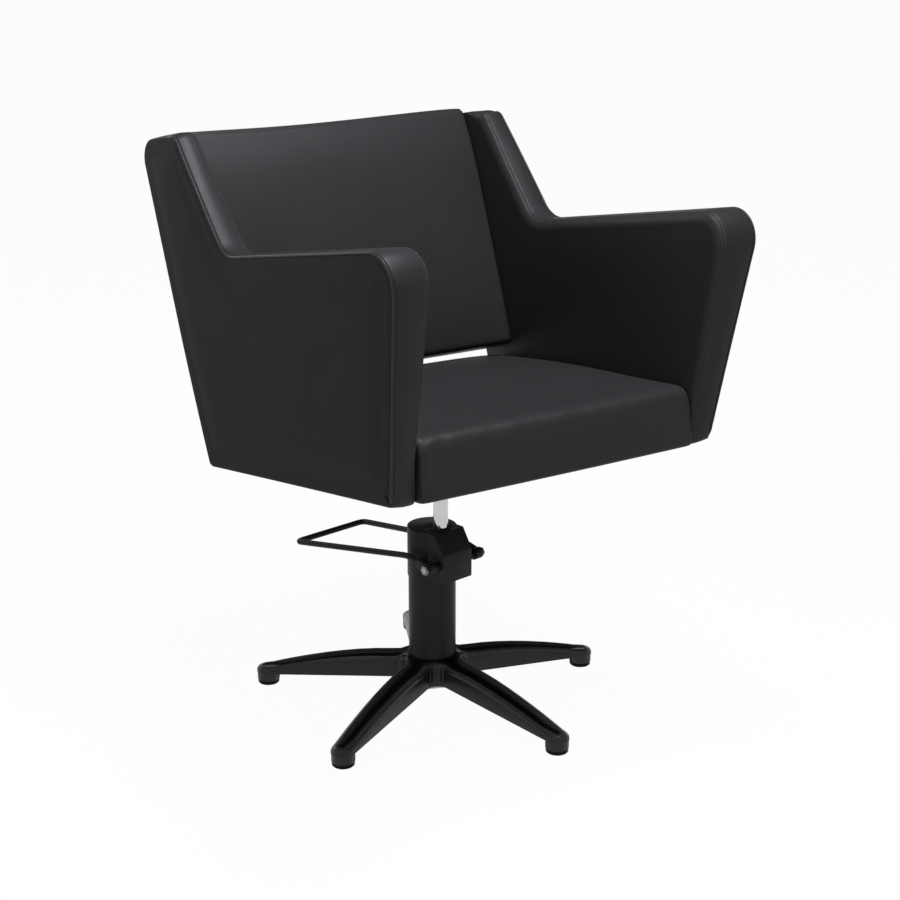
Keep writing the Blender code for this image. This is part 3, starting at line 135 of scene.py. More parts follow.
class Board:
    """A node tree that materials and the world are wired on."""

    def __init__(self, tree):
        self.tree = tree
        tree.nodes.clear()

    def add(self, kind, settings=None, values=None, output=0):
        node = self.tree.nodes.new(kind)
        for name, value in (settings or {}).items():
            if name == "stops":
                self.set_stops(node.color_ramp, value)
            else:
                setattr(node, name, value)
        for name, value in (values or {}).items():
            if isinstance(value, Wire):
                self.tree.links.new(value.socket, node.inputs[name])
            else:
                node.inputs[name].default_value = value
        return Wire(self, node.outputs[output]) if node.outputs else None

    @staticmethod
    def set_stops(ramp, stops):
        while len(ramp.elements) < len(stops):
            ramp.elements.new(1.0)
        for element, (place, grey) in zip(ramp.elements, stops):
            element.position = place
            element.color = (grey, grey, grey, 1)

    def blend_colours(self, share, first, second):
        return self.add("ShaderNodeMix", {"data_type": "RGBA"}, {0: share, 6: first, 7: second}, 2)

    def noise(self, scale, detail=2.0, stretch=None):
        place = self.add("ShaderNodeTexCoord", output=3)
        if stretch:
            place = self.add("ShaderNodeMapping", None, {"Vector": place, "Scale": stretch})
        return self.add("ShaderNodeTexNoise", None, {"Vector": place, "Scale": scale, "Detail": detail})

    def cells(self, scale):
        place = self.add("ShaderNodeTexCoord", output=3)
        return self.add("ShaderNodeTexVoronoi", None, {"Vector": place, "Scale": scale})

    def bump(self, height, strength, distance, below=None):
        values = {"Height": height, "Strength": strength, "Distance": distance}
        if below:
            values["Normal"] = below
        return self.add("ShaderNodeBump", None, values)

    def finish(self, shader):
        self.add("ShaderNodeOutputMaterial", None, {"Surface": shader})


def material(name):
    made = bpy.data.materials.new(name)
    made.use_nodes = True
    return made, Board(made.node_tree)


def grey(value, blue=1.0):
    return (value, value, value * blue, 1.0)


print("shader board ready")

# %% [markdown]
# ## Stage and light
# A pale floor runs to the horizon, and the sky over it is white low down and dim above, like a
# white sweep in a studio. Soft lamps overhead and in front make the broad sheen on the edges, and
# two weaker ones light the left side and the rear.

# %% Floor and sky
FLOOR_RADIUS = 60.0
FLOOR_GLOW = 0.97
FLOOR_GREY = 0.65
SKY_LOW = 0.85
SKY_TOP = 0.05
LAMP_COLOUR = (0.93, 0.96, 1.0)


def make_floor():
    bm = bmesh.new()
    bmesh.ops.create_circle(bm, cap_ends=True, segments=96, radius=FLOOR_RADIUS)
    mesh = bpy.data.meshes.new("studio_floor")
    bm.to_mesh(mesh)
    bm.free()
    floor = bpy.data.objects.new("studio_floor", mesh)
    bpy.context.scene.collection.objects.link(floor)
    made, board = material("pale_floor")
    seen = board.add("ShaderNodeLightPath", output=0)
    for ray in (3, 6):
        seen = seen.maths("MAXIMUM", board.add("ShaderNodeLightPath", output=ray))
    lit = board.add("ShaderNodeBsdfDiffuse", None, {"Color": grey(FLOOR_GREY)})
    white = board.add("ShaderNodeEmission", None, {"Color": grey(1.0), "Strength": 1.0})
    board.finish(board.add("ShaderNodeMixShader", None, {0: seen * FLOOR_GLOW, 1: lit, 2: white}))
    mesh.materials.append(made)
    return floor


def make_sky():
    world = bpy.data.worlds.new("studio_sky")
    world.use_nodes = True
    bpy.context.scene.world = world
    board = Board(world.node_tree)
    direction = board.add("ShaderNodeTexCoord", output=0)
    height = board.add("ShaderNodeSeparateXYZ", None, {"Vector": direction}, 2)
    stops = {"stops": [(0.0, SKY_LOW), (0.10, SKY_LOW), (0.25, SKY_TOP), (1.0, SKY_TOP)]}
    shade = board.add("ShaderNodeValToRGB", stops, {"Fac": height})
    sky = board.add("ShaderNodeBackground", None, {"Color": shade, "Strength": 1.0})
    board.add("ShaderNodeOutputWorld", None, {"Surface": sky})


def make_lamp(name, place, target, size, watts):
    data = bpy.data.lights.new(name, "AREA")
    data.shape = "RECTANGLE"
    data.size, data.size_y = size
    data.energy = watts
    data.color = LAMP_COLOUR
    lamp = bpy.data.objects.new(name, data)
    lamp.location = place
    aim = Vector(target) - Vector(place)
    lamp.rotation_euler = aim.to_track_quat("-Z", "Y").to_euler()
    bpy.context.scene.collection.objects.link(lamp)
    return lamp


make_floor()
make_sky()
make_lamp("top_softbox", (0.1, -0.3, 3.0), (0, 0, 0.7), (0.7, 0.7), 69)
make_lamp("front_top_softbox", (0.0, -0.8, 2.9), (0, 0, 0.7), (1.0, 1.0), 38)
make_lamp("front_softbox", (-0.4, -2.2, 2.6), (0, 0, 0.6), (1.2, 1.2), 20)
make_lamp("left_fill", (-2.6, -1.2, 1.6), (0, 0, 0.6), (1.5, 1.5), 16)
make_lamp("rear_rim", (-0.9, 2.4, 1.5), (0, 0, 0.7), (1.5, 1.5), 18)
print("stage ready")

# %% [markdown]
# ## Upholstery finish
# The cover is a black coated cloth with a very fine pebble grain. It is not flat black: the grain
# breaks up the sheen, and broad soft patches are a little smoother where the cover is pulled tight.

# %% Upholstery
COVER_COLOUR = (0.0165, 0.0167, 0.0173, 1.0)
COVER_WORN = (0.0205, 0.0207, 0.0215, 1.0)
PEBBLE_SCALE = 820
FINE_SCALE = 1900
CLOUD_SCALE = 9.0
PULL_SCALE = 34.0
GRAIN_DEPTH = 0.0006


def cover_finish(name, sheen_roughness, gloss, grain=0.14):
    made, board = material(name)
    pebbles = board.cells(PEBBLE_SCALE)
    fine = board.noise(FINE_SCALE, 2.0)
    cloudy = board.noise(CLOUD_SCALE, 3.0)
    pulled = board.noise(PULL_SCALE, 2.0)
    colour = board.blend_colours(cloudy * 0.7, COVER_COLOUR, COVER_WORN)
    rough = sheen_roughness + (pulled - 0.5) * 0.10 + (cloudy - 0.5) * 0.08
    height = (1.0 - pebbles) * 0.7 + fine * 0.3
    shader = board.add("ShaderNodeBsdfPrincipled", None, {
        "Base Color": colour, "Roughness": rough, "Specular IOR Level": gloss,
        "Normal": board.bump(height, grain, GRAIN_DEPTH)})
    board.finish(shader)
    return made


COVER = cover_finish("black_cover", 0.46, 0.12)
MATT_COVER = cover_finish("black_matt_cover", 0.58, 0.04)
WELT_COVER = cover_finish("black_welt", 0.42, 0.16, 0.08)


def thread_finish():
    made, board = material("black_thread")
    twist = board.noise(2400, 1.0, (1, 1, 0.25))
    shader = board.add("ShaderNodeBsdfPrincipled", None, {
        "Base Color": board.blend_colours(twist, grey(0.018), grey(0.036)),
        "Roughness": 0.42 + twist * 0.2})
    board.finish(shader)
    return made


THREAD = thread_finish()
print("upholstery finishes", COVER.name, WELT_COVER.name, THREAD.name)

# %% [markdown]
# ## Metal, plastic and wood finishes
# The base and pump are black enamel with a slight orange peel, so their reflections are soft. The
# rod is polished chrome with fine rings from grinding. Bolts and the pump's inside are zinc plated.
# The base's enamel also lifts the ridges that the casting has along its legs, paints a highlight on
# their crests and paints shade into the groove between them, so that they show from a distance.

# %% Enamel, chrome, zinc, plastic, rubber and plywood
LEGS = 5
LEG_TURN = 2 * math.pi / LEGS
FIRST_LEG = math.radians(-80.5)
LEG_HALF_WIDTHS = (0.0252, 0.0198)    # at the axis, and the loss for each metre outwards
FOOT_CIRCLE = 0.285
RIDGE_INSET = 0.0095                  # from a leg's edge to the top of its ridge
RIDGE_REACH = 0.0100                  # from there to the floor of the groove
RIDGE_HEIGHT = 0.0085
CROTCH = (0.0578, 0.042, 0.018)       # centre, outwards and sideways, and radius between two legs
RIDGES_FROM = (0.040, 0.052)          # they rise over this stretch of the hub
# Painted light on the base: the ridge crests get a painted highlight of this many times the enamel's tone, and the
# groove between them a painted shade of the dark tone below.
RIDGE_PAINTED_HIGHLIGHT = 5                        # times the enamel's own tone
RIDGE_HIGHLIGHT_FADE = 1.5
GROOVE_FROM, GROOVE_SLOPE = 0.25, 1.6
GROOVE_PAINTED_SHADE = 0.003


def leg_ridges(board):
    """Height of the ridges along the legs' edges, and the share of the groove between them that gets painted
    shade.
    """
    place = board.add("ShaderNodeTexCoord", output=3)
    x = board.add("ShaderNodeSeparateXYZ", None, {0: place}, 0)
    y = board.add("ShaderNodeSeparateXYZ", None, {0: place}, 1)
    angle = y.maths("ARCTAN2", x) + ((LEGS + 0.5) * LEG_TURN - FIRST_LEG)
    turn = angle.maths("MODULO", LEG_TURN) - LEG_TURN / 2
    radius = (x * x + y * y) ** 0.5
    out = radius * turn.maths("COSINE", 0.0)
    side = (radius * turn.maths("SINE", 0.0)).maths("ABSOLUTE", 0.0)
    past = (out - FOOT_CIRCLE).maths("MAXIMUM", 0.0)
    on_leg = LEG_HALF_WIDTHS[0] - out * LEG_HALF_WIDTHS[1] - (side * side + past * past) ** 0.5
    crotch_out, crotch_side = out - CROTCH[0], side - CROTCH[1]
    on_hub = (crotch_out * crotch_out + crotch_side * crotch_side) ** 0.5 - CROTCH[2]
    inset = on_leg + (on_hub - on_leg) * out.maths("LESS_THAN", CROTCH[0])
    away = ((inset - RIDGE_INSET) * (1 / RIDGE_REACH)).maths("MINIMUM", 1.0)
    rise = ((radius - RIDGES_FROM[0]) * (1 / (RIDGES_FROM[1] - RIDGES_FROM[0]))).maths("MAXIMUM", 0.0)
    groove = ((away - GROOVE_FROM) * GROOVE_SLOPE).maths("MAXIMUM", 0.0)
    return (1.0 - away * away) * rise.maths("MINIMUM", 1.0), groove.maths("MINIMUM", 1.0)


def enamel_finish(name, colour, roughness, gloss, ridged=False):
    made, board = material(name)
    dust = board.noise(24.0, 3.0)
    skin = board.noise(150.0, 1.0)
    ridges, groove = leg_ridges(board) if ridged else (None, None)
    below = board.bump(ridges, 1.0, RIDGE_HEIGHT) if ridged else None
    tone = board.blend_colours(dust, grey(colour), grey(colour * 1.5))
    # Painted highlight: the colour of the ridge crests is lightened.
    if ridged:
        crest_highlight = ridges.maths("MAXIMUM", 0.0) ** RIDGE_HIGHLIGHT_FADE
        tone = board.blend_colours(crest_highlight, tone, grey(colour * RIDGE_PAINTED_HIGHLIGHT))
    shader = board.add("ShaderNodeBsdfPrincipled", None, {
        "Base Color": tone, "Roughness": roughness + (dust - 0.5) * 0.06, "Specular IOR Level": gloss,
        "Normal": board.bump(skin, 0.02, 0.0008, below)})
    # Painted shade: the groove is mixed towards a dark, dull shader.
    if ridged:
        shaded = board.add("ShaderNodeBsdfPrincipled", None, {
            "Base Color": grey(GROOVE_PAINTED_SHADE), "Roughness": 0.5, "Specular IOR Level": 0.03})
        shader = board.add("ShaderNodeMixShader", None, {0: groove, 1: shader, 2: shaded})
    board.finish(shader)
    return made


def metal_finish(name, tone, roughness, stretch, scratches=0.12):
    made, board = material(name)
    lines = board.noise(900.0, 2.0, stretch)
    cloud = board.noise(40.0, 2.0)
    shader = board.add("ShaderNodeBsdfPrincipled", None, {
        "Base Color": board.blend_colours(cloud, grey(tone), grey(tone * 0.9)), "Metallic": 1.0,
        "Roughness": roughness + (lines - 0.5) * scratches})
    board.finish(shader)
    return made


def moulded_finish(name, colour, roughness, gloss):
    made, board = material(name)
    spark = board.noise(1500.0, 2.0)
    cloud = board.noise(50.0, 2.0)
    shader = board.add("ShaderNodeBsdfPrincipled", None, {
        "Base Color": board.blend_colours(cloud, grey(colour), grey(colour * 1.4)),
        "Roughness": roughness + (cloud - 0.5) * 0.1, "Specular IOR Level": gloss,
        "Normal": board.bump(spark, 0.12, 0.0004)})
    board.finish(shader)
    return made


def plywood_finish(name, stain):
    made, board = material(name)
    grain = board.noise(26.0, 6.0, (12, 1, 1))
    layers = board.noise(300.0, 1.0, (0.02, 0.02, 1))
    pale = (0.60 * stain, 0.45 * stain, 0.28 * stain, 1)
    deep = (0.42 * stain, 0.29 * stain, 0.16 * stain, 1)
    colour = board.blend_colours(grain, deep, pale)
    shader = board.add("ShaderNodeBsdfPrincipled", None, {
        "Base Color": board.blend_colours(layers * 0.35, colour, deep),
        "Roughness": 0.55 + grain * 0.2, "Normal": board.bump(grain, 0.1, 0.001)})
    board.finish(shader)
    return made


BASE_ENAMEL = enamel_finish("black_base_enamel", 0.007, 0.33, 0.26, True)
PUMP_ENAMEL = enamel_finish("black_pump_enamel", 0.017, 0.40, 0.07)
CHROME = metal_finish("ground_chrome", 0.56, 0.10, (1, 1, 40), 0.08)
ZINC = metal_finish("zinc_plating", 0.34, 0.34, (1, 1, 1))
DULL_ZINC = metal_finish("dull_zinc_plating", 0.17, 0.42, (1, 1, 1))
PLASTIC = moulded_finish("black_plastic", 0.006, 0.42, 0.05)
RUBBER = moulded_finish("black_rubber", 0.012, 0.62, 0.12)
PLYWOOD = plywood_finish("raw_plywood", 1.0)
STAINED_PLYWOOD = plywood_finish("black_stained_plywood", 0.03)
SLOT_FINISH = {
    "base_enamel": BASE_ENAMEL, "pump_enamel": PUMP_ENAMEL, "chrome": CHROME, "zinc_steel": ZINC,
    "black_plastic": PLASTIC, "seal_rubber": RUBBER, "plywood": PLYWOOD, "upholstery": COVER}
print("finishes", sorted(SLOT_FINISH))

# %% [markdown]
# ## The metal pieces
# The frame's own solids are right in shape. They are welded, so that light runs smoothly over
# their facets, and split again where two faces meet at a sharp angle. A few get eased edges.

# %% Dress the frame's pieces
SHARP_EDGE = math.radians(38)
EASED_EDGE = math.radians(30)
WELD_REACH = 0.00001
OWN_FINISH = {
    "seat_frame": STAINED_PLYWOOD, "shaft_nut_left": DULL_ZINC, "shaft_nut_right": DULL_ZINC}
EASED = {"pump_head": 0.0011, "pedal_crank_left": 0.0008, "pedal_crank_right": 0.0008,
         "seat_plate": 0.0006, "shaft_nut_left": 0.0004, "shaft_nut_right": 0.0004}


def dress_node(name, finish):
    obj = nodes[name]
    mesh = obj.data
    if "custom_normal" in mesh.attributes:
        mesh.attributes.remove(mesh.attributes["custom_normal"])
    mesh.polygons.foreach_set("use_smooth", [True] * len(mesh.polygons))
    mesh.materials.clear()
    mesh.materials.append(finish)
    weld = obj.modifiers.new("weld", "WELD")
    weld.merge_threshold = WELD_REACH
    if name in EASED:
        ease = obj.modifiers.new("eased edges", "BEVEL")
        ease.width = EASED[name]
        ease.segments = 2
        ease.limit_method = "ANGLE"
        ease.angle_limit = EASED_EDGE
    split = obj.modifiers.new("sharp edges", "EDGE_SPLIT")
    split.split_angle = SHARP_EDGE


for part in frame["record"]["subparts"]:
    dress_node(part["node"], OWN_FINISH.get(part["node"], SLOT_FINISH[part["material_slot"]]))

# %% [markdown]
# ## Helpers for sewn pieces
# Covers are built as rows of points joined by quads. Welts and stitches follow a line of points,
# with a direction that says which way is out of the cover.

# %% Mesh helpers


def new_piece(name, points, faces, finish, smooth=True):
    mesh = bpy.data.meshes.new(name)
    mesh.from_pydata([tuple(p) for p in points], [], faces)
    mesh.validate()
    bm = bmesh.new()
    bm.from_mesh(mesh)
    bmesh.ops.recalc_face_normals(bm, faces=bm.faces)
    bm.to_mesh(mesh)
    bm.free()
    if smooth:
        mesh.shade_smooth()
    mesh.materials.append(finish)
    obj = bpy.data.objects.new(name, mesh)
    bpy.context.scene.collection.objects.link(obj)
    return obj


def settle(obj, replaced=()):
    """Hang a finished piece on the seat."""
    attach(obj, "seat")
    if replaced:
        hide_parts(*replaced)
    print(obj.name, len(obj.data.polygons), "faces")


def along(points):
    """Distance along a line of points."""
    steps = np.linalg.norm(np.diff(points, axis=0), axis=1)
    return np.concatenate([[0.0], np.cumsum(steps)])


def unit(vectors):
    return vectors / np.maximum(np.linalg.norm(vectors, axis=-1, keepdims=True), 1e-12)


def tube(points, outward, radius, sides=12):
    """A round cord along points, as corners and faces, closed at both ends."""
    ahead = unit(np.gradient(points, axis=0))
    out = unit(outward - ahead * (outward * ahead).sum(1, keepdims=True))
    across = np.cross(ahead, out)
    angles = np.arange(sides) * 2 * math.pi / sides
    rings = [points + radius * (math.cos(a) * out + math.sin(a) * across) for a in angles]
    corners = np.stack(rings, 1).reshape(-1, 3)
    faces = []
    for i in range(len(points) - 1):
        for k in range(sides):
            n = (k + 1) % sides
            faces.append((i * sides + k, i * sides + n, (i + 1) * sides + n, (i + 1) * sides + k))
    faces.append(tuple(range(sides))[::-1])
    last = (len(points) - 1) * sides
    faces.append(tuple(range(last, last + sides)))
    return corners, faces


STITCH_PITCH = 0.0056
STITCH_LENGTH = 0.0042
STITCH_RADIUS = 0.00038
STITCH_SIDES = 6
STITCH_SHAPE = (
    (-0.5, 0.25, -1.0), (-0.36, 0.9, -0.1), (0.0, 1.0, 0.25), (0.36, 0.9, -0.1), (0.5, 0.25, -1.0))


def stitches(points, outward):
    """A row of short threads along points, each dipping into the cover at both ends."""
    length = along(points)
    count = int(length[-1] / STITCH_PITCH)
    spots = (np.arange(count) + 0.5) * STITCH_PITCH
    place = np.stack([np.interp(spots, length, points[:, c]) for c in range(3)], 1)
    out = unit(np.stack([np.interp(spots, length, outward[:, c]) for c in range(3)], 1))
    ahead = np.stack([np.interp(spots, length, np.gradient(points[:, c], length)) for c in range(3)], 1)
    ahead = unit(ahead - out * (ahead * out).sum(1, keepdims=True))
    across = np.cross(ahead, out)
    corners, faces = [], []
    sides = STITCH_SIDES
    for i in range(count):
        first = len(corners)
        for shift, swell, rise in STITCH_SHAPE:
            middle = place[i] + ahead[i] * shift * STITCH_LENGTH + out[i] * rise * STITCH_RADIUS
            for k in range(sides):
                a = k * 2 * math.pi / sides
                arm = math.cos(a) * out[i] + math.sin(a) * across[i]
                corners.append(middle + arm * swell * STITCH_RADIUS)
        for ring in range(len(STITCH_SHAPE) - 1):
            for k in range(sides):
                n = (k + 1) % sides
                a, b = first + ring * sides, first + (ring + 1) * sides
                faces.append((a + k, a + n, b + n, b + k))
        faces.append(tuple(range(first, first + sides))[::-1])
        end = first + (len(STITCH_SHAPE) - 1) * sides
        faces.append(tuple(range(end, end + sides)))
    return corners, faces


def merge_parts(parts):
    corners, faces = [], []
    for part_corners, part_faces in parts:
        first = len(corners)
        corners.extend(part_corners)
        faces.extend([tuple(first + k for k in face) for face in part_faces])
    return corners, faces


print("mesh helpers ready")

# %% [markdown]
# ## Side panels
# Each side is one padded board: the arm and the wing in one outline. Its cover has three parts: an
# outer face, an inner face and a band between them. A cord welt is sewn into the outer edge, and
# the inner edge is a flat seam with a row of stitches on each side. In side view the outline is a
# few straight runs with rounded corners, so the cover is filled in from four borders.

# %% Side view of a panel
FRONT_LOW = (-0.311, 0.481)
FRONT_TOP = (-0.3725, 0.848)
DIP = (0.119, 0.762)
WING_TOP = (0.274, 0.928)
REAR_TOP = (0.402, 0.905)
REAR_LOW = (0.2045, 0.408)
ARM_CORNER = 0.047
DIP_CORNER = 0.055
WING_CORNER = 0.022
REAR_CORNER = 0.034
LOW_CORNER = 0.010
TIGHT = 0.001
PANEL_CORNERS = np.array([FRONT_LOW, REAR_LOW, REAR_TOP, WING_TOP, DIP, FRONT_TOP])
INNER_HALF_WIDTH, INNER_LEAN, INNER_TOE = 0.2504, 0.011, 0.028
OUTER_FRONT, OUTER_FLARE, OUTER_REAR = 0.2902, 0.0800, 0.311
OUTER_TURN = 1.2                      # how soon the outer face is upright, towards the rear


def inner_face(y, z):
    return INNER_HALF_WIDTH + INNER_LEAN * z + INNER_TOE * y


def outer_face(y, z):
    front = OUTER_FRONT + OUTER_FLARE * (z - FRONT_LOW[1])
    share = (y - FRONT_LOW[0]) / (REAR_TOP[0] - FRONT_LOW[0])
    return front + (OUTER_REAR - front) * np.minimum(share * OUTER_TURN, 1.0)


def rounded(before, corner, after, radius, steps):
    """Points of a rounded corner, from the side of before to the side of after."""
    corner = np.array(corner)
    a, b = unit(np.array(before) - corner), unit(np.array(after) - corner)
    half = math.acos(float(a @ b)) / 2
    reach = radius / math.tan(half)
    centre = corner + unit(a + b) * radius / math.sin(half)
    start, end = corner + a * reach - centre, corner + b * reach - centre
    turn = math.pi - 2 * half
    shares = np.linspace(0, 1, steps + 1)[:, None]
    return centre + (np.sin((1 - shares) * turn) * start + np.sin(shares * turn) * end) / math.sin(turn)


def run(start, end, count):
    return np.linspace(start, end, count + 1)


def shares_along(points):
    length = along(points)
    return length / length[-1]


def moved_in(corners, distance):
    """A polygon's corners, moved inwards with its sides (anticlockwise in side view)."""
    before = unit(corners - np.roll(corners, 1, axis=0))
    after = unit(np.roll(corners, -1, axis=0) - corners)
    normal = np.stack([-before[:, 1] - after[:, 1], before[:, 0] + after[:, 0]], 1)
    return corners + normal * distance / (1 + (before * after).sum(1))[:, None]


def spaced(line, shares):
    """Points at the given shares of a line's length."""
    return np.stack([np.interp(shares, shares_along(line), axis) for axis in line.T], 1)


def panel_borders(inset):
    """Bottom, top, front and rear border of a panel, all moved inwards."""
    low, rear_low, rear_top, wing_top, dip_low, arm_top = moved_in(PANEL_CORNERS, inset)
    low_end, arm_end, wing_end, rear_top_end = [
        max(radius - inset, TIGHT) for radius in (LOW_CORNER, ARM_CORNER, WING_CORNER, REAR_CORNER)]
    front_end = rounded(rear_low, low, arm_top, low_end, 8)
    rear_end = rounded(low, rear_low, rear_top, low_end, 8)
    arm = rounded(low, arm_top, dip_low, arm_end, 24)
    dip = rounded(arm_top, dip_low, wing_top, DIP_CORNER + inset, 18)
    wing = rounded(dip_low, wing_top, rear_top, wing_end, 10)
    rear = rounded(wing_top, rear_top, rear_low, rear_top_end, 16)
    top = np.concatenate([
        arm[12:], run(arm[-1], dip[0], 32)[1:-1], dip, run(dip[-1], wing[0], 16)[1:-1],
        wing, run(wing[-1], rear[0], 9)[1:-1], rear[:9]])
    front = np.concatenate([front_end[4:], run(front_end[-1], arm[0], 32)[1:], arm[1:13]])
    back = np.concatenate([rear_end[4:], run(rear_end[-1], rear[-1], 36)[1:], rear[15:7:-1]])
    bottom = spaced(np.concatenate([front_end[4::-1], rear_end[:5]]), shares_along(top))
    return bottom, top, front, back


def panel_loop(inset):
    """The borders as one closed line, from the front of the bottom edge along it and round."""
    bottom, top, front, back = panel_borders(inset)
    return np.concatenate([bottom[:-1], back[:-1], top[:0:-1], front[:0:-1]])


def filled(bottom, top, front, back):
    """A grid of points between four borders."""
    u = shares_along(top)[None, :, None]
    v = ((shares_along(front) + shares_along(back)) / 2)[:, None, None]
    between = (1 - v) * bottom[None] + v * top[None] + (1 - u) * front[:, None] + u * back[:, None]
    low = (1 - u) * bottom[0] + u * bottom[-1]
    high = (1 - u) * top[0] + u * top[-1]
    return between - ((1 - v) * low + v * high)


PANEL_LOOP = panel_loop(0)
COLUMNS = len(panel_borders(0)[0]) - 1
ROWS = len(panel_borders(0)[2]) - 1
print("panel grid", COLUMNS, "by", ROWS, "with", len(PANEL_LOOP), "points round it")

# %% [markdown]
# The edge of the panel is a ring of profiles. Each profile is a list of steps: how far in from the
# outline, and how deep below the outer or the inner face. From the arm's front to the top of the
# wing the outer corner has a groove for the welt, and the inner corner is a soft roll with a seam.
# The rear edge is rolled without a seam, and the bottom edge is a tight hem.

# %% Profiles of the edges
EDGE_INSET = 0.020
BAND_CROWN = 0.0012
FACE_PUFF = 0.0025
PUFF_REACH = 0.022
FRONT_SLANT = 0.004
SLANT_REACH = 0.100
FOOT_DROP = 0.004
HEM_ROUND = 0.004
REAR_ROLL = 0.003
FOOT_REACH = 0.090
FOOT_SHARE = 0.15
FOOT_TAPER = (0.15, 0.35, 0.6, 0.85)
WING_LIFT = 0.004
WING_LIFT_FROM = (0.08, 0.01)         # over this stretch below the wing's top
WING_ROLL_FROM = (0.010, 0.045)       # over this stretch behind the wing's top
BAND_SHARES = (0.12, 0.3, 0.5, 0.7, 0.88)
MATT_STRIPS = 5
WELT_RADIUS = 0.0021
WELT_SEAT = 0.0018
WELT_STEPS = ((0.0170, 0.0000), (0.0126, 0.0003), (0.0088, 0.0008), (0.0058, 0.0014), (0.0039, 0.0021),
              (0.0027, 0.0029), (0.0019, 0.0038), (0.0009, 0.0046), (0.0002, 0.0058), (-0.0001, 0.0076))
SEAM_ROUND = 0.017
SEAM_TURNS = ((0, 0.0), (14, 0.0), (28, 0.0001), (41, 0.0003), (50, 0.0004), (56, 0.0001),
              (60, -0.0012), (64, 0.0001), (72, 0.0003), (90, 0.0))


def smooth(x, start, end):
    """A soft step from 0 at start to 1 at end."""
    t = np.clip((x - start) / (end - start), 0, 1)
    return t * t * (3 - 2 * t)


def plain_steps(radius, count):
    turns = np.linspace(0, math.pi / 2, count)
    return [(radius * (1 - math.sin(t)), radius * (1 - math.cos(t))) for t in turns]


def seam_steps():
    steps = []
    for turn, proud in SEAM_TURNS:
        t = math.radians(turn)
        reach = SEAM_ROUND - (SEAM_ROUND + proud) * math.sin(t)
        depth = SEAM_ROUND - (SEAM_ROUND + proud) * math.cos(t)
        steps.append((reach, depth))
    return steps


def border_weights(foot_share):
    """For each point round the panel: its shares of seamed edge, hem and rolled edge."""
    count = len(PANEL_LOOP)
    place = np.arange(count)
    hem = np.where(place <= COLUMNS, 1.0, 0.0)
    front = place > 2 * COLUMNS + ROWS
    above_foot = smooth(PANEL_LOOP[front, 1], FRONT_LOW[1], FRONT_LOW[1] + FOOT_REACH)
    hem[front] = foot_share * (1 - above_foot) ** 2
    taper = len(FOOT_TAPER)
    hem[-taper:] = np.maximum(hem[-taper:], FOOT_TAPER)
    hem[COLUMNS + 1:COLUMNS + 1 + taper] = FOOT_TAPER[::-1]
    start, end = WING_ROLL_FROM
    from_wing = smooth(PANEL_LOOP[:, 0], WING_TOP[0] + start, WING_TOP[0] + end)
    rolled = np.where(place >= COLUMNS + ROWS, from_wing, 1.0) * (1 - hem)
    return 1 - hem - rolled, hem, rolled


OUTER_EDGE = border_weights(0.0)
INNER_EDGE = border_weights(0.95)
print("seamed share of the outline", round(float(OUTER_EDGE[0].mean()), 2))

# %% Build one panel cover


def distance_to_outline(points):
    """Distance of side-view points to the panel's outline."""
    a = PANEL_LOOP
    b = np.roll(PANEL_LOOP, -1, axis=0) - a
    gap = points[:, None, :] - a[None]
    share = np.clip((gap * b).sum(2) / (b * b).sum(1), 0, 1)
    return np.linalg.norm(gap - share[..., None] * b[None], axis=2).min(1)


def ring_points(side, seamed_steps, weights, face, sign):
    """Rings of the rounded edge beside one face, from the face towards the band."""
    rings = []
    count = len(seamed_steps)
    kinds = (seamed_steps, plain_steps(HEM_ROUND, count), plain_steps(REAR_ROLL, count))
    for steps in zip(*kinds):
        flat = sum(weight[:, None] * panel_loop(reach) for weight, (reach, depth) in zip(weights, steps))
        depth = sum(weight * depth for weight, (reach, depth) in zip(weights, steps))
        x = face(flat[:, 0], flat[:, 1]) + sign * depth
        rings.append(np.stack([side * x, flat[:, 0], flat[:, 1]], 1))
    return rings


def slant_edges(points, side):
    """Set the inner edge of the arm's front back, drop its foot and lift that of the wing's top."""
    y, z = points[:, 1], points[:, 2]
    height = (z - FRONT_LOW[1]) / (FRONT_TOP[1] - FRONT_LOW[1])
    front_y = FRONT_LOW[0] + (FRONT_TOP[0] - FRONT_LOW[0]) * height
    inwards = smooth(side * points[:, 0], outer_face(y, z), inner_face(y, z))
    slanted = points.copy()
    near_front = inwards * (1 - smooth(y - front_y, 0, SLANT_REACH))
    slanted[:, 1] += FRONT_SLANT * near_front
    slanted[:, 2] -= FOOT_DROP * near_front * (1 - smooth(height, 0.0, FOOT_SHARE))
    start, end = WING_LIFT_FROM
    slanted[:, 2] += WING_LIFT * inwards * smooth(z, WING_TOP[1] - start, WING_TOP[1] - end)
    return slanted


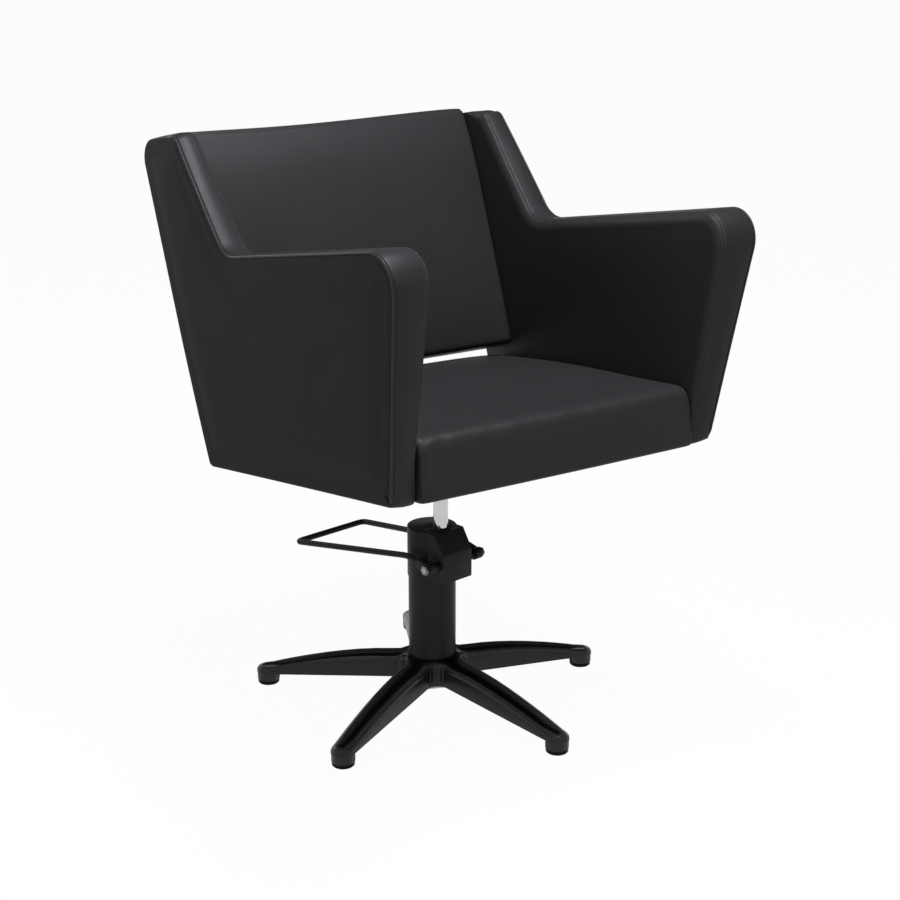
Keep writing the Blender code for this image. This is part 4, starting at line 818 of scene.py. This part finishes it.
def panel_cover(label, side):
    flat = filled(*panel_borders(EDGE_INSET)).reshape(-1, 2)
    inwards = np.maximum(distance_to_outline(flat) - EDGE_INSET, 0)
    puff = FACE_PUFF * (1 - np.exp(-(inwards / PUFF_REACH) ** 2))
    width = COLUMNS + 1
    border = [(0, i) for i in range(COLUMNS)] + [(j, COLUMNS) for j in range(ROWS)]
    border += [(ROWS, i) for i in range(COLUMNS, 0, -1)] + [(j, 0) for j in range(ROWS, 0, -1)]
    border = np.array([j * width + i for j, i in border])
    points, faces, edge_rings = [], [], []
    for face, sign, share, weights, seamed_steps in (
            (outer_face, -1, 1.0, OUTER_EDGE, WELT_STEPS), (inner_face, 1, 0.25, INNER_EDGE, seam_steps())):
        first = len(points)
        x = face(flat[:, 0], flat[:, 1]) - sign * puff * share
        points.extend(np.stack([side * x, flat[:, 0], flat[:, 1]], 1))
        for j in range(ROWS):
            for i in range(COLUMNS):
                k = first + j * width + i
                faces.append((k, k + 1, k + width + 1, k + width))
        edge_rings.append((first + border, ring_points(side, seamed_steps, weights, face, sign)))
    (outer_border, outer_rings), (inner_border, inner_rings) = edge_rings
    middle = []
    for share in BAND_SHARES:
        bulge = 4 * share * (1 - share)
        bend = (1 - share) * outer_rings[-1] + share * inner_rings[-1]
        bend[:, 1:] += panel_loop(-BAND_CROWN * bulge) - PANEL_LOOP
        middle.append(bend)
    chain = [outer_border]
    for ring in outer_rings + middle + inner_rings[::-1]:
        chain.append(len(points) + np.arange(len(ring)))
        points.extend(ring)
    chain.append(inner_border)
    count = len(PANEL_LOOP)
    for ring_a, ring_b in zip(chain, chain[1:]):
        for k in range(count):
            n = (k + 1) % count
            faces.append((ring_a[k], ring_a[n], ring_b[n], ring_b[k]))
    points = slant_edges(np.array(points), side) + SEAT_SHIFT
    cover = new_piece("side_cover_" + label, points, faces, COVER)
    cover.data.materials.append(MATT_COVER)
    strips = 2 * COLUMNS * ROWS
    outer_strips = cover.data.polygons[strips:strips + MATT_STRIPS * count]
    for polygon in [*cover.data.polygons[:COLUMNS * ROWS], *outer_strips]:
        polygon.material_index = 1
    settle(cover, ["side_panel_" + label])
    return [slant_edges(ring, side) for ring in inner_rings]


seam_lines = {}
for label, side in (("right", -1), ("left", 1)):
    seam_lines[label] = panel_cover(label, side)

# %% [markdown]
# The welt is a cord wrapped in the same cover. It is sewn into the outer corner from the top of the
# wing to the foot of the arm's front, and both its ends sink into the cover.

# %% Welts and stitches of the panels
WELT_SINK = 0.007
STITCHED_RINGS = ((4, 5), (7, 8))     # a row of stitches lies between two rings of the inner edge
WELTED = np.flatnonzero(OUTER_EDGE[0] > 0.01)


def welted_part(ring):
    """The seamed part of a ring: from the top of the wing round to the foot of the arm."""
    return ring[WELTED]


def panel_welt(label, side):
    seat = WELT_SEAT + WELT_SINK * (1 - welted_part(OUTER_EDGE[0]))
    deep, shallow = welted_part(panel_loop(WELT_SEAT + WELT_SINK)), welted_part(panel_loop(WELT_SEAT))
    flat = shallow + (deep - shallow) * ((seat - WELT_SEAT) / WELT_SINK)[:, None]
    x = outer_face(flat[:, 0], flat[:, 1]) - seat
    line = np.stack([side * x, flat[:, 0], flat[:, 1]], 1)
    outward = np.tile([side, 0.0, 0.0], (len(line), 1))
    corners, faces = tube(line, outward, WELT_RADIUS)
    welt = new_piece("side_welt_" + label, corners + SEAT_SHIFT, faces, WELT_COVER)
    settle(welt)


def panel_stitches(label, side):
    rows = []
    rings = seam_lines[label]
    for low, high in STITCHED_RINGS:
        line = welted_part((rings[low] + rings[high]) / 2)
        middle = welted_part(panel_loop(SEAM_ROUND))
        x = inner_face(middle[:, 0], middle[:, 1]) + SEAM_ROUND
        centre = np.stack([side * x, middle[:, 0], middle[:, 1]], 1)
        rows.append(stitches(line, unit(line - centre)))
    corners, faces = merge_parts(rows)
    threads = new_piece("side_stitches_" + label, np.array(corners) + SEAT_SHIFT, faces, THREAD)
    settle(threads)


for label, side in (("right", -1), ("left", 1)):
    panel_welt(label, side)
    panel_stitches(label, side)

# %% [markdown]
# ## Cushions
# A cushion starts as a coarse cage: a front and a rear grid with rings between them. Subdivision
# rounds it, so the cage's lines near the border decide how tight each edge is.

# %% Soft forms
SEAT_UNDERSIDE_Z = 0.4373
SEAT_TILT = math.radians(8.17)
SEAT_FRONT, SEAT_REAR = 0.327, 0.188
SEAT_EDGE_HEIGHT, SEAT_SIDE_HEIGHT, SEAT_CROWN = 0.091, 0.105, 0.011
SEAT_SKIRT = 0.024
FRAME_HEIGHT = 0.042
BACK_ORIGIN = (0.157, 0.546)
BACK_RECLINE = math.radians(22.4)
BACK_HEIGHT, BACK_DEPTH, BACK_CROWN = 0.418, 0.046, 0.009
BOARD_THICKNESS, BOARD_INSET = 0.015, 0.012
CUSHION_GAP = 0.0008
FIT = 0.0003
CUT_PAST = 0.05                       # how far a cutter runs out of a cushion's rear or underside


def seat_to_chair(v, w):
    return (v * math.cos(SEAT_TILT) + w * math.sin(SEAT_TILT),
            SEAT_UNDERSIDE_Z - v * math.sin(SEAT_TILT) + w * math.cos(SEAT_TILT))


def back_to_chair(v, w):
    return (BACK_ORIGIN[0] + v * math.sin(BACK_RECLINE) - w * math.cos(BACK_RECLINE),
            BACK_ORIGIN[1] + v * math.cos(BACK_RECLINE) + w * math.sin(BACK_RECLINE))


def soft_form(name, across, lengthways, position, front, rear, waists, levels):
    """A closed cushion in its own frame: x across, y lengthways, z out of its face."""
    corners, faces = [], []
    last_u, last_v = len(across) - 1, len(lengthways) - 1
    width = last_u + 1
    for height in (front, rear):
        for v in lengthways:
            for u in across:
                corners.append((*position(u, v), height(u, v)))
    size = width * (last_v + 1)
    for i in range(last_v):
        for j in range(last_u):
            k = i * width + j
            faces.append((k, k + 1, k + width + 1, k + width))
            faces.append((size + k, size + k + width, size + k + width + 1, size + k + 1))
    border = [(0, j) for j in range(last_u)] + [(i, last_u) for i in range(last_v)]
    border += [(last_v, j) for j in range(last_u, 0, -1)] + [(i, 0) for i in range(last_v, 0, -1)]
    border = [i * width + j for i, j in border]
    rings = [border]
    for share in waists:
        ring = []
        for k in border:
            a, b = np.array(corners[k]), np.array(corners[size + k])
            ring.append(len(corners))
            corners.append(tuple(a * (1 - share) + b * share))
        rings.append(ring)
    rings.append([size + k for k in border])
    for ring_a, ring_b in zip(rings, rings[1:]):
        for k in range(len(border)):
            n = (k + 1) % len(border)
            faces.append((ring_a[k], ring_b[k], ring_b[n], ring_a[n]))
    obj = new_piece(name, corners, faces, COVER)
    rounding = obj.modifiers.new("soft form", "SUBSURF")
    rounding.levels = levels
    rounding.render_levels = levels
    bake_modifiers(obj)
    return obj


def bake_modifiers(obj):
    graph = bpy.context.evaluated_depsgraph_get()
    graph.update()
    made = bpy.data.meshes.new_from_object(obj.evaluated_get(graph))
    old = obj.data
    obj.modifiers.clear()
    obj.data = made
    bpy.data.meshes.remove(old)


def cut_box(obj, low, high):
    """Take a box out of a closed piece, in the piece's own frame."""
    low, high = np.array(low), np.array(high)
    shares = [(i, j, k) for i in (0, 1) for j in (0, 1) for k in (0, 1)]
    corners = [tuple(low + (high - low) * np.array(share)) for share in shares]
    faces = [(0, 1, 3, 2), (4, 6, 7, 5), (0, 4, 5, 1), (2, 3, 7, 6), (0, 2, 6, 4), (1, 5, 7, 3)]
    tool = new_piece("hollow", corners, faces, COVER, smooth=False)
    cut = obj.modifiers.new("hollow", "BOOLEAN")
    cut.operation = "DIFFERENCE"
    cut.object = tool
    bake_modifiers(obj)
    bpy.data.objects.remove(tool)


def read_points(obj):
    flat = np.empty(len(obj.data.vertices) * 3)
    obj.data.vertices.foreach_get("co", flat)
    return flat.reshape(-1, 3)


def write_points(obj, points):
    obj.data.vertices.foreach_set("co", np.asarray(points).ravel())
    obj.data.update()


def to_chair(obj, frame_change):
    """Move a cushion's points from its own frame into the chair's."""
    points = read_points(obj)
    y, z = frame_change(points[:, 1], points[:, 2])
    write_points(obj, np.stack([points[:, 0], y, z], 1) + SEAT_SHIFT)


print("soft form helpers ready")

# %% [markdown]
# The seat cushion is full in the middle and rolls over at the front into a skirt that hides the
# plywood tray. The tray's place is cut out of its underside.

# %% Seat cushion
SEAT_ACROSS = (-1, -0.962, -0.75, -0.38, 0, 0.38, 0.75, 0.962, 1)
SEAT_ALONG = (-1, -0.84, -0.66, -0.4, 0, 0.4, 0.8, 0.97, 1)
SEAT_CORNER_DROP = 0.001
SEAT_HEM_DROP = 0.0055
SEAT_DRAW_IN = 0.003
SEAT_BOW = 0.004
SEAT_CUT_HALF_WIDTH = 0.4
SEAM_FROM_CORNER = 0.009
SEAM_DEPTH = 0.0014
SEAM_WIDTH = 0.0014
CREASE_HEIGHT = 0.0007
CREASE_SHARE = 0.45                   # of the long waves, beside the folds at the seams
CREASE_SLANT = 0.7
CREASE_WAVES = ((74, 1.1, 1.0), (131, 0.4, 0.7), (227, 0.0, 0.4))    # turns, shift and height
FOLD_TURNS = (210, 160)
FOLD_REACH = 0.030
ROLL_DROP, ROLL_WIDTH = 0.012, 0.016


def seat_half_width(v):
    y, z = seat_to_chair(v, SEAT_SIDE_HEIGHT / 2)
    return inner_face(y, z) - CUSHION_GAP


def seat_position(u, v):
    place = (SEAT_REAR - SEAT_FRONT) / 2 + v * (SEAT_REAR + SEAT_FRONT) / 2
    draw_in = SEAT_DRAW_IN * (1 - v * v) * abs(u) ** 8
    bow = SEAT_BOW * (1 - u * u) * (v < 0) * abs(v) ** 8
    return u * (seat_half_width(place) - draw_in), place - bow


def seat_top(u, v):
    edge = SEAT_EDGE_HEIGHT + (SEAT_SIDE_HEIGHT - SEAT_EDGE_HEIGHT) * smooth(v, -1.0, 0.35)
    crown = SEAT_CROWN * (1 - u ** 6) * smooth(v, -1.1, 0.2) * (1 - 0.4 * smooth(v, 0.6, 1.0))
    corner = SEAT_CORNER_DROP * smooth(abs(u), 0.9, 1.0) * smooth(-v, 0.8, 1.0)
    return edge + crown - corner


def seat_hem(u, v):
    return -SEAT_HEM_DROP * smooth(-v, 0.8, 1.0)


def seam_and_creases(points):
    """Press the two upright corner seams into the seat's front and crease the cover a little."""
    x, y, z = points.T
    front = smooth(-y, SEAT_FRONT - 0.030, SEAT_FRONT - 0.010)
    from_seam = abs(x) - (seat_half_width(-SEAT_FRONT) - SEAM_FROM_CORNER)
    seam = SEAM_DEPTH * np.exp(-(from_seam / SEAM_WIDTH) ** 2) * front
    near_seam = np.exp(-(from_seam / FOLD_REACH) ** 2)
    folds = np.sin(FOLD_TURNS[0] * z + FOLD_TURNS[1] * abs(x)) * near_seam
    waves = sum(height * np.sin(turns * x + shift) for turns, shift, height in CREASE_WAVES)
    roll = np.exp(-((z - SEAT_EDGE_HEIGHT + ROLL_DROP) / ROLL_WIDTH) ** 2) * front
    lift = CREASE_HEIGHT * (CREASE_SHARE * waves + folds) * roll
    return np.stack([x, y + seam - CREASE_SLANT * lift, z + CREASE_SLANT * lift], 1)


seat = soft_form("seat_cover", SEAT_ACROSS, SEAT_ALONG, seat_position, seat_top, seat_hem, (0.5, 0.86), 4)
write_points(seat, seam_and_creases(read_points(seat)))
tray = (SEAT_SKIRT - SEAT_FRONT - FIT, SEAT_REAR - SEAT_SKIRT + FIT)
cut_box(seat, (-SEAT_CUT_HALF_WIDTH, tray[0], -CUT_PAST),
        (SEAT_CUT_HALF_WIDTH, tray[1], FRAME_HEIGHT + FIT))
to_chair(seat, seat_to_chair)
settle(seat, ["seat_cushion"])

# %% [markdown]
# The back cushion leans between the wings, with the board in a pocket behind it. The rear of the
# chair is closed by a thin padded panel.

# %% Back cushion and rear panel
BACK_ACROSS = (-1, -0.955, -0.75, -0.38, 0, 0.38, 0.75, 0.955, 1)
BACK_ALONG = (-1, -0.94, -0.7, -0.3, 0.2, 0.65, 0.93, 1)
BACK_CORNER_DROP = 0.003
BACK_END_LIFT = 0.0025
BACK_TOP_SWAY = 0.0045
BACK_SWAY_TURN, BACK_SWAY_SHIFT = 1.9, 0.28
BACK_SEAM_DROP = 0.007
BACK_DRAW_IN = 0.002
BACK_FULLNESS = 0.003
BACK_TOP_ROLL, BACK_FOOT_ROLL = 0.010, 0.004
BOARD_FRONT = -BACK_DEPTH - FIT
BOARD_REAR = BOARD_FRONT - BOARD_THICKNESS
REAR_PANEL_DEPTH, REAR_PANEL_INSET = 0.014, 0.005


def back_half_width(v, w):
    y, z = back_to_chair(v, w)
    return inner_face(y, z) - CUSHION_GAP


def back_sway(u):
    """How far the top edge has settled unevenly, from one side to the other."""
    return BACK_TOP_SWAY * np.sin(BACK_SWAY_TURN * (u - BACK_SWAY_SHIFT)) + BACK_END_LIFT * u * u


def back_position(u, v):
    place = (v + 1) / 2 * BACK_HEIGHT
    draw_in = BACK_DRAW_IN * (1 - v * v) * abs(u) ** 8
    top = smooth(v, 0.6, 1.0)
    settled = back_sway(u) - BACK_CORNER_DROP * smooth(abs(u), 0.92, 1.0)
    return u * (back_half_width(place, BOARD_REAR) - draw_in), place + settled * top


def back_front(u, v):
    roll = BACK_TOP_ROLL * smooth(v, 0.7, 1.0) + BACK_FOOT_ROLL * smooth(-v, 0.8, 1.0)
    return BACK_CROWN * (1 - u ** 4) * (1 - v ** 4) + BACK_FULLNESS * (1 - v * v) - roll


def edge_seam(points):
    """Press the seam between the back's face and its top border into the cover."""
    x, y, z = points.T
    sway = back_sway(x / back_half_width(BACK_HEIGHT, BOARD_REAR))
    from_seam = y - (BACK_HEIGHT + sway - BACK_SEAM_DROP)
    face = smooth(z, -0.030, -0.012)
    seam = SEAM_DEPTH * np.exp(-(from_seam / SEAM_WIDTH) ** 2) * face
    return np.stack([x, y - 0.5 * seam, z - 0.8 * seam], 1)


back = soft_form("back_cover", BACK_ACROSS, BACK_ALONG, back_position, back_front,
                 lambda u, v: BOARD_REAR, (0.5,), 4)
write_points(back, edge_seam(read_points(back)))
board_half = back_half_width(BACK_HEIGHT / 2, BOARD_REAR) - BOARD_INSET
cut_box(back, (-board_half, BOARD_INSET - FIT, BOARD_REAR - CUT_PAST),
        (board_half, BACK_HEIGHT - BOARD_INSET + FIT, BOARD_FRONT + FIT))
to_chair(back, back_to_chair)
settle(back, ["back_cushion"])

REAR_ACROSS = (-1, -0.985, -0.6, 0, 0.6, 0.985, 1)
REAR_ALONG = (-1, -0.98, -0.5, 0, 0.5, 0.98, 1)
REAR_PANEL_GAP = 0.001
REAR_PUFF = 0.002


def rear_position(u, v):
    place = REAR_PANEL_INSET + (v + 1) / 2 * (BACK_HEIGHT - 2 * REAR_PANEL_INSET)
    return u * (back_half_width(place, BOARD_REAR - REAR_PANEL_DEPTH) - REAR_PANEL_GAP), place


def rear_face(u, v):
    puff = REAR_PUFF * (1 - u ** 6) * (1 - v ** 6)
    return BOARD_REAR - FIT - REAR_PANEL_DEPTH - puff


rear = soft_form("rear_cover", REAR_ACROSS, REAR_ALONG, rear_position,
                 lambda u, v: BOARD_REAR - FIT, rear_face, (0.5,), 3)
to_chair(rear, back_to_chair)
settle(rear, ["back_rear_panel"])

# %% [markdown]
# ## The plunger's spring
# The coil under the pump's plunger is pressed together when the pedal goes down. It is wound again
# here as a piece that rides with the plunger.

# %% Plunger spring
SPRING_WIRE = 0.0004
SPRING_TURNS = 4
SPRING_SIDES = 8
STEPS_PER_TURN = 16


def plunger_spring():
    corners = np.array(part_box("plunger_spring"))
    low, high = corners.min(0), corners.max(0)
    centre = (low + high) / 2
    radius = (high - low)[:2].max() / 2 - SPRING_WIRE
    turns = np.linspace(0, 2 * math.pi * SPRING_TURNS, SPRING_TURNS * STEPS_PER_TURN + 1)
    outward = np.stack([np.cos(turns), np.sin(turns), 0 * turns], 1)
    line = centre + radius * outward
    line[:, 2] = np.linspace(low[2] + SPRING_WIRE, high[2] - SPRING_WIRE, len(turns))
    spring = new_piece("spring_coil", *tube(line, outward, SPRING_WIRE, SPRING_SIDES), ZINC)
    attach(spring, "plunger")
    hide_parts("plunger_spring")
    length = float(high[2] - low[2])
    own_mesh(spring)
    return length


print("spring length", round(plunger_spring(), 4))
